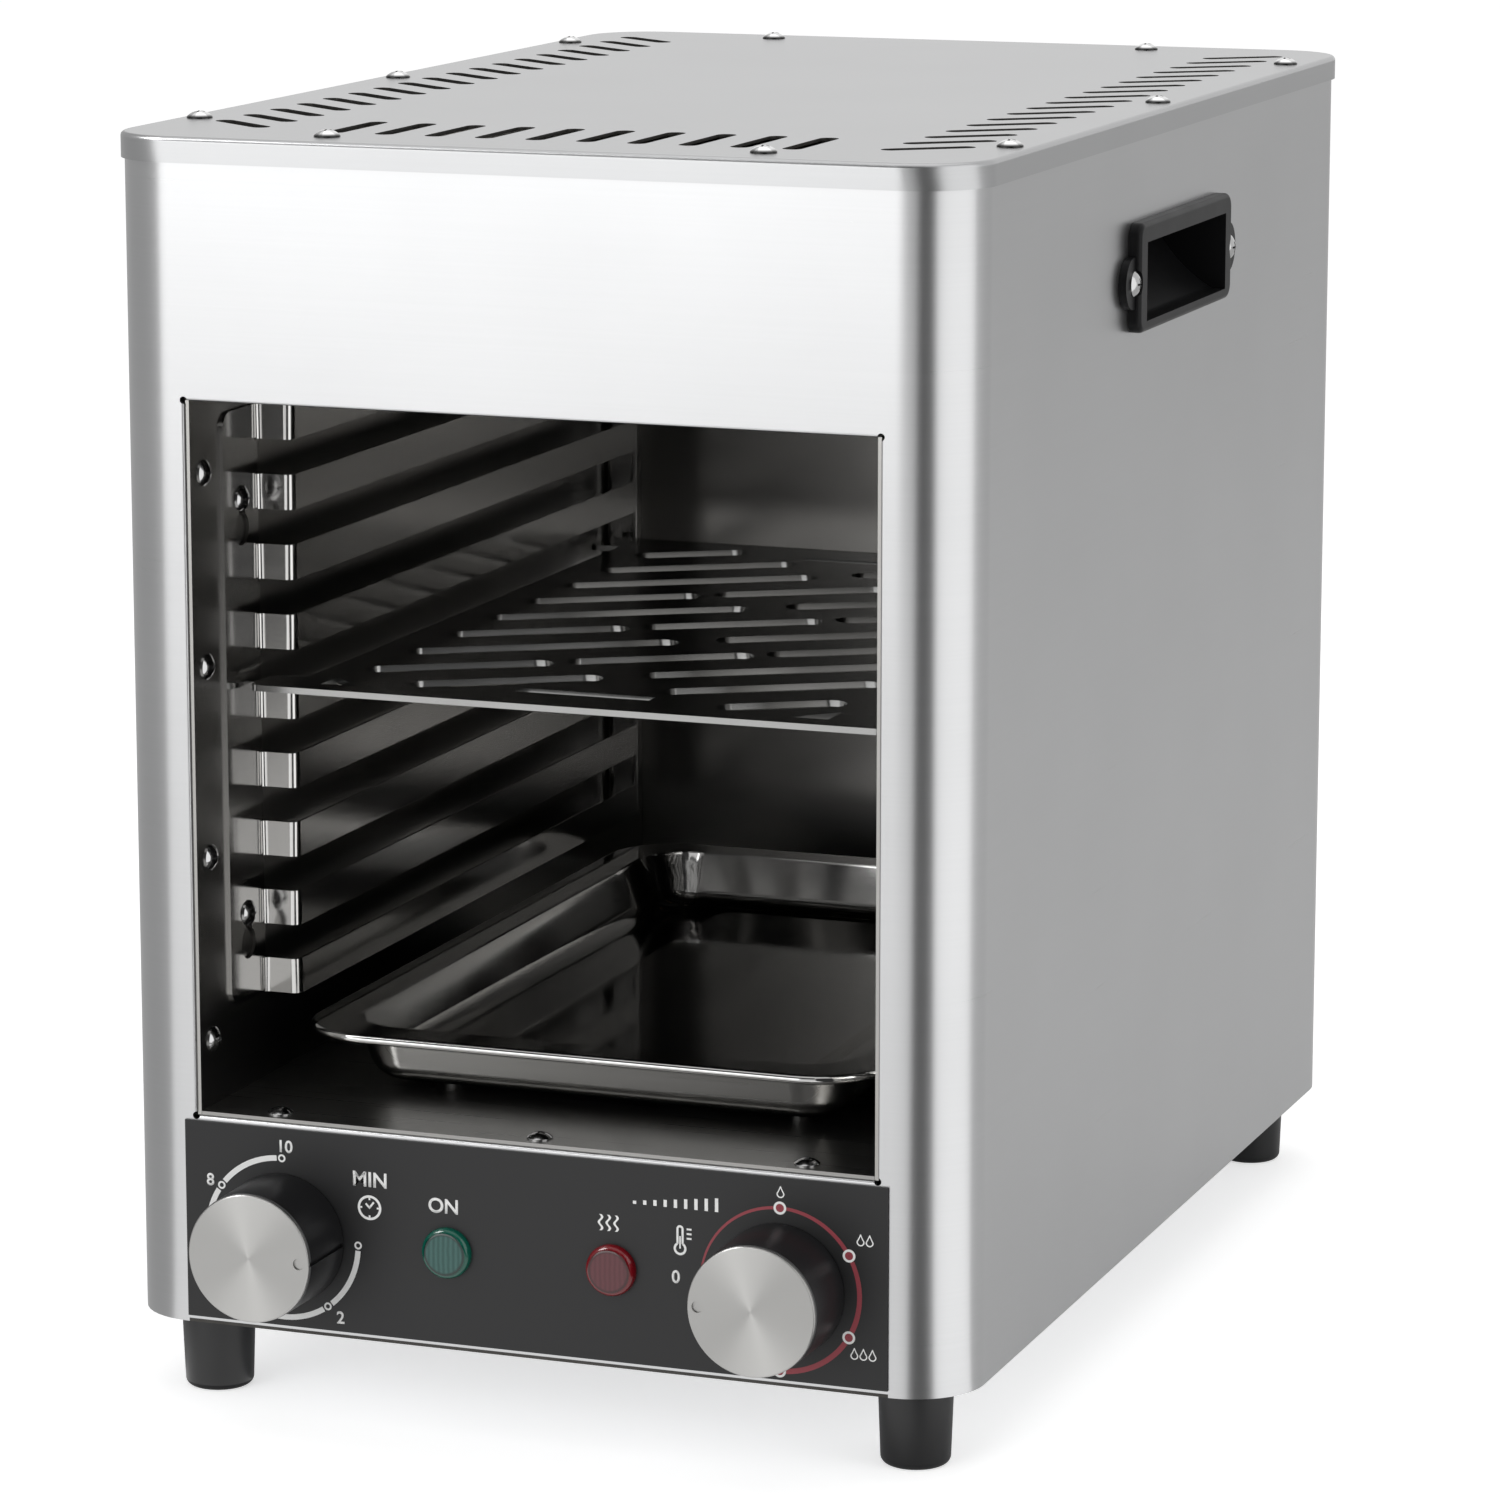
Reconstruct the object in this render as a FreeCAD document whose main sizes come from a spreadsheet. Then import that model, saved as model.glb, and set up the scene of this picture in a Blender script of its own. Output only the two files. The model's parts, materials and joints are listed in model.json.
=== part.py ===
# Electric steak grill: a narrow steel cabinet with an open front, a hot chamber with two slotted
# racks, a pull-out grill plate and drip tray, and a black control panel with two knobs.
# Millimetres, +Z up, front towards -Y, origin at the middle of the footprint on the table.
import os
import re
from math import asin, atan2, cos, pi, sin, tan

import FreeCAD
import Part
import Sketcher

Vector = FreeCAD.Vector
document = FreeCAD.newDocument("SteakGrill")

# A sketch point this far off an axis keeps its own dimension, which a point on the axis loses.
ON_AXIS = "0.001"

# The driving sizes. Depths ("back") are measured behind the cabinet's front face, heights ("up")
# above its lower edge, and sideways sizes from its middle.
SIZES = {
    # cabinet
    "body_width": 284.0,
    "body_depth": 434.0,
    "body_height": 379.1,
    "body_corner": 23.0,
    "sheet": 1.0,
    "top_flange_side": 14.0,
    "top_flange_end": 25.0,
    "window_half": 108.0,
    "window_low": 17.5,
    "window_high": 362.5,
    "back_panel_margin": 8.0,
    "cover_overhang": 1.2,
    "cover_skirt": 8.1,
    "cover_slot_radius": 3.1,
    "base_thickness": 1.0,
    "base_lip": 14.0,
    "play": 0.1,
    # front opening and the hot chamber behind it
    "opening_half": 114.8,
    "opening_low": 68.4,
    "opening_high": 298.1,
    "opening_flange": 14.0,
    "chamber_sheet": 1.2,
    "chamber_half": 113.5,
    "chamber_back": 389.0,
    "ceiling_up": 338.0,
    "ceiling_front": 15.0,
    "floor_up": 69.7,
    # control panel, knobs and lamps
    "panel_half": 118.5,
    "panel_low": 2.2,
    "panel_high": 67.0,
    "panel_thickness": 0.8,
    "timer_across": -84.8,
    "temperature_across": 83.3,
    "knob_up": 31.2,
    "knob_proud": 27.0,
    "knob_radius": 21.2,
    "knob_wall": 2.2,
    "cap_radius": 20.7,
    "cap_thickness": 1.2,
    "dimple_radius": 1.9,
    "dimple_out": 17.3,
    "shaft_radius": 3.0,
    "shaft_play": 0.06,
    "shaft_hole": 5.5,
    "hub_radius": 6.0,
    "power_lamp_across": -28.0,
    "heating_lamp_across": 27.6,
    "lamp_up": 32.0,
    "lamp_radius": 8.25,
    "lamp_proud": 3.0,
    "lamp_stem": 5.0,
    # racks, grill plate and drip tray
    "rack_front": 23.2,
    "rack_web_front": 48.6,
    "rack_web_back": 353.0,
    "rack_back": 376.0,
    "rack_sheet": 1.0,
    "rack_bar_plane": 100.4,
    "rack_high": 290.9,
    "bar_pitch": 22.65,
    "bar_height": 11.3,
    "bar_count": 9,
    "keyhole_drop": 9.9,
    "plate_across": -3.0,
    "plate_front": 34.5,
    "plate_length": 312.0,
    "plate_width": 214.0,
    "plate_body_width": 190.0,
    "plate_ear": 19.0,
    "plate_thickness": 2.0,
    "plate_slot_radius": 5.9,
    "plate_slot_slope": 0.62,
    "plate_slot_pitch": 34.05,
    "plate_slot_span": 77.5,
    "tray_across": 3.7,
    "tray_front": 26.9,
    "tray_length": 309.1,
    "tray_width": 199.5,
    "tray_corner": 26.5,
    "tray_rim": 13.0,
    "tray_bead": 1.5,
    "tray_depth": 22.5,
    "tray_sheet": 0.9,
    "tray_bend": 10.0,
    "tray_draft": 18.0,
    "tray_nub": 2.3,
    "tray_nub_radius": 4.5,
    "tray_platform_half": 53.0,
    "tray_platform_lift": 2.5,
    # heater
    "tube_radius": 3.25,
    "tube_up": 318.0,
    "tube_pitch": 26.0,
    "tube_front": 58.0,
    "tube_back": 350.0,
    "tube_end": 405.0,
    "capillary_across": 106.0,
    "capillary_up": 306.0,
    # side handles, feet and fasteners
    "handle_middle": 217.0,
    "handle_low": 314.0,
    "handle_high": 339.5,
    "handle_half": 46.0,
    "handle_proud": 4.3,
    "handle_depth": 22.5,
    "handle_seat": 1.7,
    "handle_screw_half": 55.6,
    "handle_screw_up": 327.0,
    "foot_height": 27.5,
    "foot_radius": 12.0,
    "foot_across": 119.5,
    "foot_front": 24.0,
    "foot_back": 410.0,
    "screw_head": 4.15,
    "screw_head_height": 2.3,
    "floor_screw_high": 2.0,
    "screw_shank": 2.0,
    "screw_hole": 2.15,
    "gland_across": -85.0,
    "gland_up": 32.0,
    "gland_bore": 3.7,
    "gland_reach": 9.0,
}

sheet = document.addObject("Spreadsheet::Sheet", "Sizes")
for row, (alias, size) in enumerate(SIZES.items(), 1):
    sheet.set(f"A{row}", alias.replace("_", " "))
    sheet.set(f"B{row}", str(size))
    sheet.setAlias(f"B{row}", alias)
document.recompute()


def formula(text):
    """The text as an expression, with the sheet's name before each alias in it."""
    return re.sub(r"[a-z]\w*", lambda word: f"Sizes.{word[0]}" if word[0] in SIZES else word[0], str(text))


def value(text):
    """The number that a formula gives now."""
    return float(sheet.evalExpression(formula(text)))


def place(piece, across="0", back="0", up="0"):
    """Put a piece at a point of the cabinet: across the middle, behind the front face, above the base."""
    middle_back = "(body_depth + gland_reach - knob_proud) / 2"
    piece.setExpression("Placement.Base.x", formula(across))
    piece.setExpression("Placement.Base.y", formula(f"{back} - {middle_back}"))
    piece.setExpression("Placement.Base.z", formula(f"{up} + foot_height"))


def cabinet_point(across, back, up):
    """A point of the cabinet as a vector, for the pieces that are made as plain solids."""
    middle_back = value("(body_depth + gland_reach - knob_proud) / 2")
    return Vector(value(across), value(back) - middle_back, value(up) + value("foot_height"))


# Sketches and features

def new_body(label):
    body = document.addObject("PartDesign::Body", label)
    body.Label = label
    return body


def origin_feature(body, role):
    return next(item for item in body.Origin.OriginFeatures if item.Role == role)


def new_sketch(body, plane, offset="0"):
    """A sketch on one of the body's own planes, moved along the positive axis by the offset."""
    sketch = body.newObject("Sketcher::SketchObject", "Sketch")
    sketch.AttachmentSupport = [(origin_feature(body, f"{plane}_Plane"), "")]
    sketch.MapMode = "FlatFace"
    sign = "-" if plane == "XZ" else ""
    sketch.setExpression("AttachmentOffset.Base.z", formula(f"{sign}({offset})"))
    return sketch


def bind(sketch, kind, *where, size):
    """Add a dimension to the sketch and tie it to the sheet."""
    index = sketch.addConstraint(Sketcher.Constraint(kind, *where, value(size)))
    sketch.setExpression(f"Constraints[{index}]", formula(size))


def bind_point(sketch, geometry, end, across, up):
    bind(sketch, "DistanceX", -1, 1, geometry, end, size=across)
    bind(sketch, "DistanceY", -1, 1, geometry, end, size=up)


def draw_polygon(sketch, points):
    """Closed outline of straight lines, with every corner bound to the sheet."""
    corners = [Vector(value(across), value(up), 0) for across, up in points]
    first = sketch.GeometryCount
    for index, corner in enumerate(corners):
        sketch.addGeometry(Part.LineSegment(corner, corners[(index + 1) % len(corners)]))
    for index, (across, up) in enumerate(points):
        following = first + (index + 1) % len(points)
        sketch.addConstraint(Sketcher.Constraint("Coincident", first + index, 2, following, 1))
        bind_point(sketch, first + index, 1, across, up)


def draw_rectangle(sketch, left, right, low, high, radius="0"):
    """Rectangle with its sides, and its round corners if it has a radius, bound to the sheet."""
    x0, x1, y0, y1, r = [value(size) for size in (left, right, low, high, radius)]
    first = sketch.GeometryCount
    starts = [Vector(x0 + r, y0, 0), Vector(x1, y0 + r, 0), Vector(x1 - r, y1, 0), Vector(x0, y1 - r, 0)]
    ends = [Vector(x1 - r, y0, 0), Vector(x1, y1 - r, 0), Vector(x0 + r, y1, 0), Vector(x0, y0 + r, 0)]
    for start, end in zip(starts, ends):
        sketch.addGeometry(Part.LineSegment(start, end))
    if r:
        centres = [Vector(x1 - r, y0 + r, 0), Vector(x1 - r, y1 - r, 0)]
        centres += [Vector(x0 + r, y1 - r, 0), Vector(x0 + r, y0 + r, 0)]
        for quarter, centre in enumerate(centres):
            circle = Part.Circle(centre, Vector(0, 0, 1), r)
            sketch.addGeometry(Part.ArcOfCircle(circle, (quarter - 1) * pi / 2, quarter * pi / 2))
        for quarter in range(1, 4):
            sketch.addConstraint(Sketcher.Constraint("Equal", first + 4, first + 4 + quarter))
        bind(sketch, "Radius", first + 4, size=radius)
    for side in range(4):
        line = first + side
        following = first + (side + 1) % 4
        if r:
            sketch.addConstraint(Sketcher.Constraint("Tangent", line, 2, line + 4, 1))
            sketch.addConstraint(Sketcher.Constraint("Tangent", line + 4, 2, following, 1))
        else:
            sketch.addConstraint(Sketcher.Constraint("Coincident", line, 2, following, 1))
        sketch.addConstraint(Sketcher.Constraint("Vertical" if side % 2 else "Horizontal", line))
    bind(sketch, "DistanceX", -1, 1, first + 3, 1, size=left)
    bind(sketch, "DistanceX", -1, 1, first + 1, 1, size=right)
    bind(sketch, "DistanceY", -1, 1, first, 1, size=low)
    bind(sketch, "DistanceY", -1, 1, first + 2, 1, size=high)


def draw_circle(sketch, across, up, radius):
    centre = Vector(value(across), value(up), 0)
    index = sketch.addGeometry(Part.Circle(centre, Vector(0, 0, 1), value(radius)))
    bind(sketch, "Radius", index, size=radius)
    bind_point(sketch, index, 3, across, up)


def draw_slot(sketch, start, end, radius):
    """Slot with round ends between two centres, in any direction."""
    a = Vector(value(start[0]), value(start[1]), 0)
    b = Vector(value(end[0]), value(end[1]), 0)
    r = value(radius)
    along = (b - a).normalize()
    aside = Vector(-along.y, along.x, 0) * r
    turn = atan2(along.y, along.x)
    first = sketch.GeometryCount
    axis = Vector(0, 0, 1)
    sketch.addGeometry(Part.LineSegment(a - aside, b - aside))
    sketch.addGeometry(Part.ArcOfCircle(Part.Circle(b, axis, r), turn - pi / 2, turn + pi / 2))
    sketch.addGeometry(Part.LineSegment(b + aside, a + aside))
    sketch.addGeometry(Part.ArcOfCircle(Part.Circle(a, axis, r), turn + pi / 2, turn + 3 * pi / 2))
    for index in range(4):
        following = first + (index + 1) % 4
        sketch.addConstraint(Sketcher.Constraint("Tangent", first + index, 2, following, 1))
    sketch.addConstraint(Sketcher.Constraint("Equal", first + 1, first + 3))
    bind(sketch, "Radius", first + 1, size=radius)
    bind_point(sketch, first + 3, 3, *start)
    bind_point(sketch, first + 1, 3, *end)


def pad(body, sketch, length):
    """Grow the sketch along the positive axis of its plane."""
    feature = body.newObject("PartDesign::Pad", "Pad")
    feature.Profile = sketch
    feature.Reversed = sketch.AttachmentSupport[0][0].Role == "XZ_Plane"
    feature.setExpression("Length", formula(length))
    return feature


def pocket(body, sketch, length):
    """Cut the sketch along the positive axis of its plane."""
    feature = body.newObject("PartDesign::Pocket", "Pocket")
    feature.Profile = sketch
    feature.Reversed = sketch.AttachmentSupport[0][0].Role != "XZ_Plane"
    feature.setExpression("Length", formula(length))
    return feature


def repeat(body, feature, axis, pitch, count, backwards=False):
    """Repeat a feature along one of the body's axes."""
    pattern = body.newObject("PartDesign::LinearPattern", "Row")
    pattern.Originals = [feature]
    pattern.Direction = (origin_feature(body, f"{axis}_Axis"), [""])
    pattern.Reversed = backwards
    pattern.setExpression("Length", formula(f"({pitch}) * ({count} - 1)"))
    pattern.setExpression("Occurrences", formula(count))
    body.Tip = pattern
    return pattern


def turn(body, sketch, axis="V_Axis"):
    """Turn the sketch once round its own upright axis."""
    feature = body.newObject("PartDesign::Revolution", "Turned")
    feature.Profile = sketch
    feature.ReferenceAxis = (sketch, [axis])
    feature.Angle = 360
    return feature


def fillet(body, radius, chosen):
    """Round the edges whose bounding box passes the test."""
    document.recompute()
    names = [f"Edge{n}" for n, edge in enumerate(body.Shape.Edges, 1) if chosen(edge.BoundBox)]
    if not names:
        raise ValueError(f"{body.Label}: no edge to round")
    base = body.Tip
    feature = body.newObject("PartDesign::Fillet", "Fillet")
    feature.Base = (base, names)
    feature.setExpression("Radius", formula(radius))
    return feature


def near(*pairs):
    """True where each number is close to its wanted one."""
    return all(abs(found - value(wanted)) < 0.05 for found, wanted in pairs)


def box_piece(label, across, back, up, radius=None):
    """Plain block between two sizes each way, with its upright corners rounded if a radius is given."""
    body = new_body(label)
    sketch = new_sketch(body, "XY", up[0])
    draw_rectangle(sketch, *across, *back, radius or "0")
    pad(body, sketch, f"({up[1]}) - ({up[0]})")
    place(body)
    return body


def mirror_piece(source, label):
    piece = document.addObject("Part::Mirroring", label)
    piece.Label = label
    piece.Source = source
    piece.Normal = Vector(1, 0, 0)
    return piece


def solid_piece(label, shapes):
    """A piece, or a group of separate like pieces, made from plain solids."""
    piece = document.addObject("Part::Feature", label)
    piece.Label = label
    piece.Shape = shapes[0] if len(shapes) == 1 else Part.makeCompound(shapes)
    return piece


# Cabinet

def outer_wrap():
    """Folded and welded outer skin with the front opening, top flange and rear window."""
    body = new_body("outer_wrap")
    half = "body_width / 2"
    outline = new_sketch(body, "XY")
    draw_rectangle(outline, f"-{half}", half, "0", "body_depth", "body_corner")
    draw_rectangle(outline, f"sheet - {half}", f"{half} - sheet", "sheet", "body_depth - sheet",
                   "body_corner - sheet")
    pad(body, outline, "body_height")
    flange = new_sketch(body, "XY", "body_height - sheet")
    draw_rectangle(flange, f"sheet / 2 - {half}", f"{half} - sheet / 2", "sheet / 2",
                   "body_depth - sheet / 2", "body_corner - sheet / 2")
    draw_rectangle(flange, f"top_flange_side - {half}", f"{half} - top_flange_side",
                   "top_flange_end", "body_depth - top_flange_end", "6")
    pad(body, flange, "sheet")
    frame = new_sketch(body, "XZ")
    draw_rectangle(frame, "-opening_half - sheet", "opening_half + sheet",
                   "opening_low - sheet", "opening_high + sheet")
    pad(body, frame, "opening_flange")
    opening = new_sketch(body, "XZ", "-1")
    draw_rectangle(opening, "-opening_half", "opening_half", "opening_low", "opening_high")
    pocket(body, opening, "opening_flange + 2")
    fillet(body, "0.8 * sheet", lambda box: near((box.YMin, "0"), (box.YMax, "0"))
           and box.ZMin > value("opening_low - 1") and box.ZMax < value("opening_high + 1")
           and abs(box.XMin) < value("opening_half + 1") and abs(box.XMax) < value("opening_half + 1"))
    corners = new_sketch(body, "XZ", "-1")
    for side in "-+":
        for up in ("opening_low", "opening_high"):
            draw_circle(corners, f"{side}opening_half", up, "1.2")
    pocket(body, corners, "opening_flange + 2")
    window = new_sketch(body, "XZ", "body_depth - 2")
    draw_rectangle(window, "-window_half", "window_half", "window_low", "window_high", "6")
    pocket(body, window, "4")
    controls = new_sketch(body, "XZ", "-1")
    draw_circle(controls, "timer_across", "knob_up", "shaft_hole")
    draw_circle(controls, "temperature_across", "knob_up", "shaft_hole")
    draw_circle(controls, "power_lamp_across", "lamp_up", "lamp_stem + play")
    draw_circle(controls, "heating_lamp_across", "lamp_up", "lamp_stem + play")
    pocket(body, controls, "4")
    handles = new_sketch(body, "YZ", f"-{half} - 1")
    draw_rectangle(handles, "handle_middle - handle_half - 2.5", "handle_middle + handle_half + 2.5",
                   "handle_low - 2.5", "handle_high + 2.5", "2")
    for side in "-+":
        draw_circle(handles, f"handle_middle {side} handle_screw_half", "handle_screw_up", "screw_hole")
    pocket(body, handles, "body_width + 2")
    wall_holes = new_sketch(body, "YZ", "-opening_half - 3")
    for up in WALL_SCREWS_UP:
        draw_circle(wall_holes, WALL_SCREW_BACK, up, "screw_hole")
    pocket(body, wall_holes, "2 * opening_half + 6")
    floor_holes = new_sketch(body, "XY", "opening_low - 3")
    for across in FLOOR_SCREWS_ACROSS:
        draw_circle(floor_holes, across, FLOOR_SCREW_BACK, "screw_hole")
    pocket(body, floor_holes, "4")
    cover_holes = new_sketch(body, "XY", "body_height - 3")
    for across, back in COVER_SCREWS:
        draw_circle(cover_holes, across, back, "screw_hole")
    pocket(body, cover_holes, "4")
    back_holes = new_sketch(body, "XZ", "body_depth - 2")
    for across, up in BACK_SCREWS:
        draw_circle(back_holes, across, up, "screw_hole")
    pocket(body, back_holes, "4")
    step = new_sketch(body, "XZ", "-1")
    draw_rectangle(step, "-panel_half", "panel_half", "-1", "base_thickness + play")
    pocket(body, step, "sheet + 1")
    place(body)


# Screw places: the chamber walls' front edge, the chamber floor's front edge, the top cover and
# the back panel.
WALL_SCREW_BACK = "11"
WALL_SCREWS_UP = ["90.9", "150.5", "212", "273.8"]
FLOOR_SCREW_BACK = "8"
FLOOR_SCREWS_ACROSS = ["-89", ON_AXIS, "89"]
COVER_SCREWS = [(across, back) for across in ("-135.5", "135.5") for back in ("59", "217", "375")]
COVER_SCREWS += [(across, back) for across in ("-71.7", "71.7") for back in ("15.8", "body_depth - 15.8")]
BACK_SCREWS = [(across, up) for across in ("-112", "112") for up in ("16", "134", "250", "364")]
RACK_SCREWS = [(back, up) for back in ("36.5", "365") for up in ("127", "262")]
FOOT_PLACES = [(across, back) for across in ("-foot_across", "foot_across")
               for back in ("foot_front", "foot_back")]


def top_cover():
    """Lid with a short skirt over the wrap's top edge and rows of steam slots along three sides."""
    body = new_body("top_cover")
    half = "(body_width / 2 + cover_overhang)"
    low = "body_height + sheet - cover_skirt"
    outline = new_sketch(body, "XY", low)
    draw_rectangle(outline, f"-{half}", half, "-cover_overhang", "body_depth + cover_overhang",
                   "body_corner + cover_overhang")
    pad(body, outline, "cover_skirt")
    top = "body_height + sheet"
    fillet(body, "1.6", lambda box: near((box.ZMin, top), (box.ZMax, top)))
    inside = new_sketch(body, "XY", f"{low} - 1")
    draw_rectangle(inside, f"sheet - {half}", f"{half} - sheet", "sheet - cover_overhang",
                   "body_depth + cover_overhang - sheet", "body_corner + cover_overhang - sheet")
    pocket(body, inside, "cover_skirt - sheet + 1")
    for side in "-+":
        slot = new_sketch(body, "XY", "body_height - 1")
        draw_slot(slot, (f"{side}104.5", "38"), (f"{side}123.5", "52.5"), "cover_slot_radius")
        cut = pocket(body, slot, "4")
        repeat(body, cut, "Y", "20.63", "18")
    slot = new_sketch(body, "XY", "body_height - 1")
    draw_slot(slot, ("-75.6", "30.5"), ("-75.6", "63.5"), "cover_slot_radius")
    cut = pocket(body, slot, "4")
    repeat(body, cut, "X", "16.8", "10")
    holes = new_sketch(body, "XY", "body_height - 1")
    for across, back in COVER_SCREWS:
        draw_circle(holes, across, back, "screw_hole")
    pocket(body, holes, "4")
    place(body)


def back_panel():
    """Screwed plate over the rear window, with two fields of air slots."""
    body = new_body("back_panel")
    outline = new_sketch(body, "XZ", "body_depth")
    margin = "back_panel_margin"
    draw_rectangle(outline, f"-window_half - {margin}", f"window_half + {margin}",
                   f"window_low - {margin}", f"window_high + {margin}", "5")
    for across, up in BACK_SCREWS:
        draw_circle(outline, across, up, "screw_hole")
    draw_circle(outline, "gland_across", "gland_up", "6.1")
    pad(body, outline, "sheet")
    for side in (("-70", "-15"), ("15", "70")):
        for up in ("60", "260"):
            slot = new_sketch(body, "XZ", "body_depth - 1")
            draw_slot(slot, (side[0], up), (side[1], up), "2")
            cut = pocket(body, slot, "4")
            repeat(body, cut, "Z", "12", "7")
    place(body)


def base_plate():
    """Floor of the cabinet: a front edge under the wrap, a lip along each side, the holes of the feet."""
    body = new_body("base_plate")
    half = "(body_width / 2 - sheet - play)"
    outline = new_sketch(body, "XY")
    draw_rectangle(outline, f"-{half}", half, "sheet + play", "body_depth - sheet - play",
                   "body_corner - sheet - play")
    for across, back in FOOT_PLACES:
        draw_circle(outline, across, back, "screw_hole")
    pad(body, outline, "base_thickness")
    tongue = new_sketch(body, "XY")
    draw_rectangle(tongue, "play - panel_half", "panel_half - play", "play", "2 * sheet")
    pad(body, tongue, "base_thickness")
    lips = new_sketch(body, "XY")
    draw_rectangle(lips, f"-{half}", f"base_thickness - {half}", "body_corner", "body_depth - body_corner")
    draw_rectangle(lips, f"{half} - base_thickness", half, "body_corner", "body_depth - body_corner")
    pad(body, lips, "base_lip")
    place(body)


def control_panel():
    """Black plate on the front below the opening, with the holes of the controls."""
    body = new_body("control_panel")
    outline = new_sketch(body, "XZ", "-panel_thickness")
    draw_rectangle(outline, "-panel_half", "panel_half", "panel_low", "panel_high")
    draw_circle(outline, "timer_across", "knob_up", "shaft_hole")
    draw_circle(outline, "temperature_across", "knob_up", "shaft_hole")
    draw_circle(outline, "power_lamp_across", "lamp_up", "lamp_stem + play")
    draw_circle(outline, "heating_lamp_across", "lamp_up", "lamp_stem + play")
    pad(body, outline, "panel_thickness")
    place(body)


# Hot chamber

def chamber_walls():
    """Right side wall with its screw holes, stepped over the opening's top flange, and its mirror image."""
    body = new_body("chamber_right_wall")
    outline = new_sketch(body, "YZ", "chamber_half")
    low = "floor_up - chamber_sheet"
    high = "ceiling_up - play"
    step = "opening_high - play"
    back = "chamber_back + chamber_sheet"
    draw_polygon(outline, [("sheet + 0.2", low), (back, low), (back, high), ("opening_flange + play", high),
                           ("opening_flange + play", step), ("sheet + 0.2", step)])
    for up in WALL_SCREWS_UP:
        draw_circle(outline, WALL_SCREW_BACK, up, "screw_hole")
    for back, up in RACK_SCREWS:
        draw_circle(outline, back, up, "screw_hole")
    pad(body, outline, "chamber_sheet")
    place(body)
    mirror_piece(body, "chamber_left_wall")


def chamber_floor():
    body = new_body("chamber_floor")
    outline = new_sketch(body, "XY", "floor_up - chamber_sheet")
    draw_rectangle(outline, "play - chamber_half", "chamber_half - play", "1.2", "chamber_back - play")
    for across in FLOOR_SCREWS_ACROSS:
        draw_circle(outline, across, FLOOR_SCREW_BACK, "screw_hole")
    pad(body, outline, "chamber_sheet")
    place(body)


def chamber_back_wall():
    """Rear wall with the holes of the heater's ends and of the thermostat's capillary."""
    body = new_body("chamber_back_wall")
    outline = new_sketch(body, "XZ", "chamber_back")
    draw_rectangle(outline, "play - chamber_half", "chamber_half - play", "floor_up + play",
                   "ceiling_up - play")
    for side in "-+":
        draw_circle(outline, f"{side}3.5 * tube_pitch", "tube_up", "6.6")
    draw_circle(outline, "capillary_across", "capillary_up", "1.8")
    pad(body, outline, "chamber_sheet")
    place(body)


def chamber_ceiling():
    """Reflector over the heater, with a front apron down to the opening."""
    body = new_body("chamber_ceiling")
    side = new_sketch(body, "YZ", "-chamber_half + play")
    back = "chamber_back + chamber_sheet"
    draw_polygon(side, [("ceiling_front", "opening_high + sheet + play"),
                        ("ceiling_front + chamber_sheet", "opening_high + sheet + play"),
                        ("ceiling_front + chamber_sheet", "ceiling_up"), (back, "ceiling_up"),
                        (back, "ceiling_up + chamber_sheet"),
                        ("ceiling_front", "ceiling_up + chamber_sheet")])
    pad(body, side, "2 * (chamber_half - play)")
    place(body)


def racks():
    """Right rack: a hat-shaped sheet hung on four screws, with eight windows that leave nine bars."""
    body = new_body("rack_right")
    wall = "chamber_half"
    face = "(chamber_half - rack_sheet)"
    low = "(rack_high - (bar_count - 1) * bar_pitch - bar_height)"
    plan = new_sketch(body, "XY", low)
    draw_polygon(plan, [(wall, "rack_front"), (wall, "rack_web_front + rack_sheet"),
                        ("rack_bar_plane + rack_sheet", "rack_web_front + rack_sheet"),
                        ("rack_bar_plane + rack_sheet", "rack_web_back - rack_sheet"),
                        (wall, "rack_web_back - rack_sheet"), (wall, "rack_back"),
                        (face, "rack_back"), (face, "rack_web_back"),
                        ("rack_bar_plane", "rack_web_back"), ("rack_bar_plane", "rack_web_front"),
                        (face, "rack_web_front"), (face, "rack_front")])
    pad(body, plan, f"rack_high - {low}")
    for radius, across, backs in (
            ("3", "rack_bar_plane", ("rack_web_front", "rack_web_back")),
            ("2", "rack_bar_plane + rack_sheet",
             ("rack_web_front + rack_sheet", "rack_web_back - rack_sheet")),
            ("2", face, ("rack_web_front", "rack_web_back")),
            ("3", wall, ("rack_web_front + rack_sheet", "rack_web_back - rack_sheet"))):
        fillet(body, radius, lambda box: near((box.XMin, across), (box.XMax, across))
               and box.ZLength > 1 and (near((box.YMin, backs[0]), (box.YMax, backs[0]))
                                        or near((box.YMin, backs[1]), (box.YMax, backs[1]))))
    fillet(body, "6", lambda box: near((box.XMin, face), (box.XMax, wall)) and box.ZLength < 0.1
           and (near((box.YMin, "rack_front"), (box.YMax, "rack_front"))
                or near((box.YMin, "rack_back"), (box.YMax, "rack_back"))))
    window = new_sketch(body, "YZ", "rack_bar_plane - 1")
    draw_rectangle(window, "rack_web_front - 2", "rack_web_back - rack_sheet - 3",
                   "rack_high - bar_pitch", "rack_high - bar_height")
    cut = pocket(body, window, f"{face} - rack_bar_plane + 1")
    repeat(body, cut, "Z", "bar_pitch", "bar_count - 1", backwards=True)
    slots = new_sketch(body, "YZ", f"{face} - 1")
    openings = new_sketch(body, "YZ", f"{face} - 1")
    for back, up in RACK_SCREWS:
        draw_slot(slots, (back, f"{up} - keyhole_drop"), (back, up), "2.3")
        draw_circle(openings, back, f"{up} - keyhole_drop", "5.2")
    pocket(body, slots, "rack_sheet + 2")
    pocket(body, openings, "rack_sheet + 2")
    place(body)
    mirror_piece(body, "rack_left")


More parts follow.
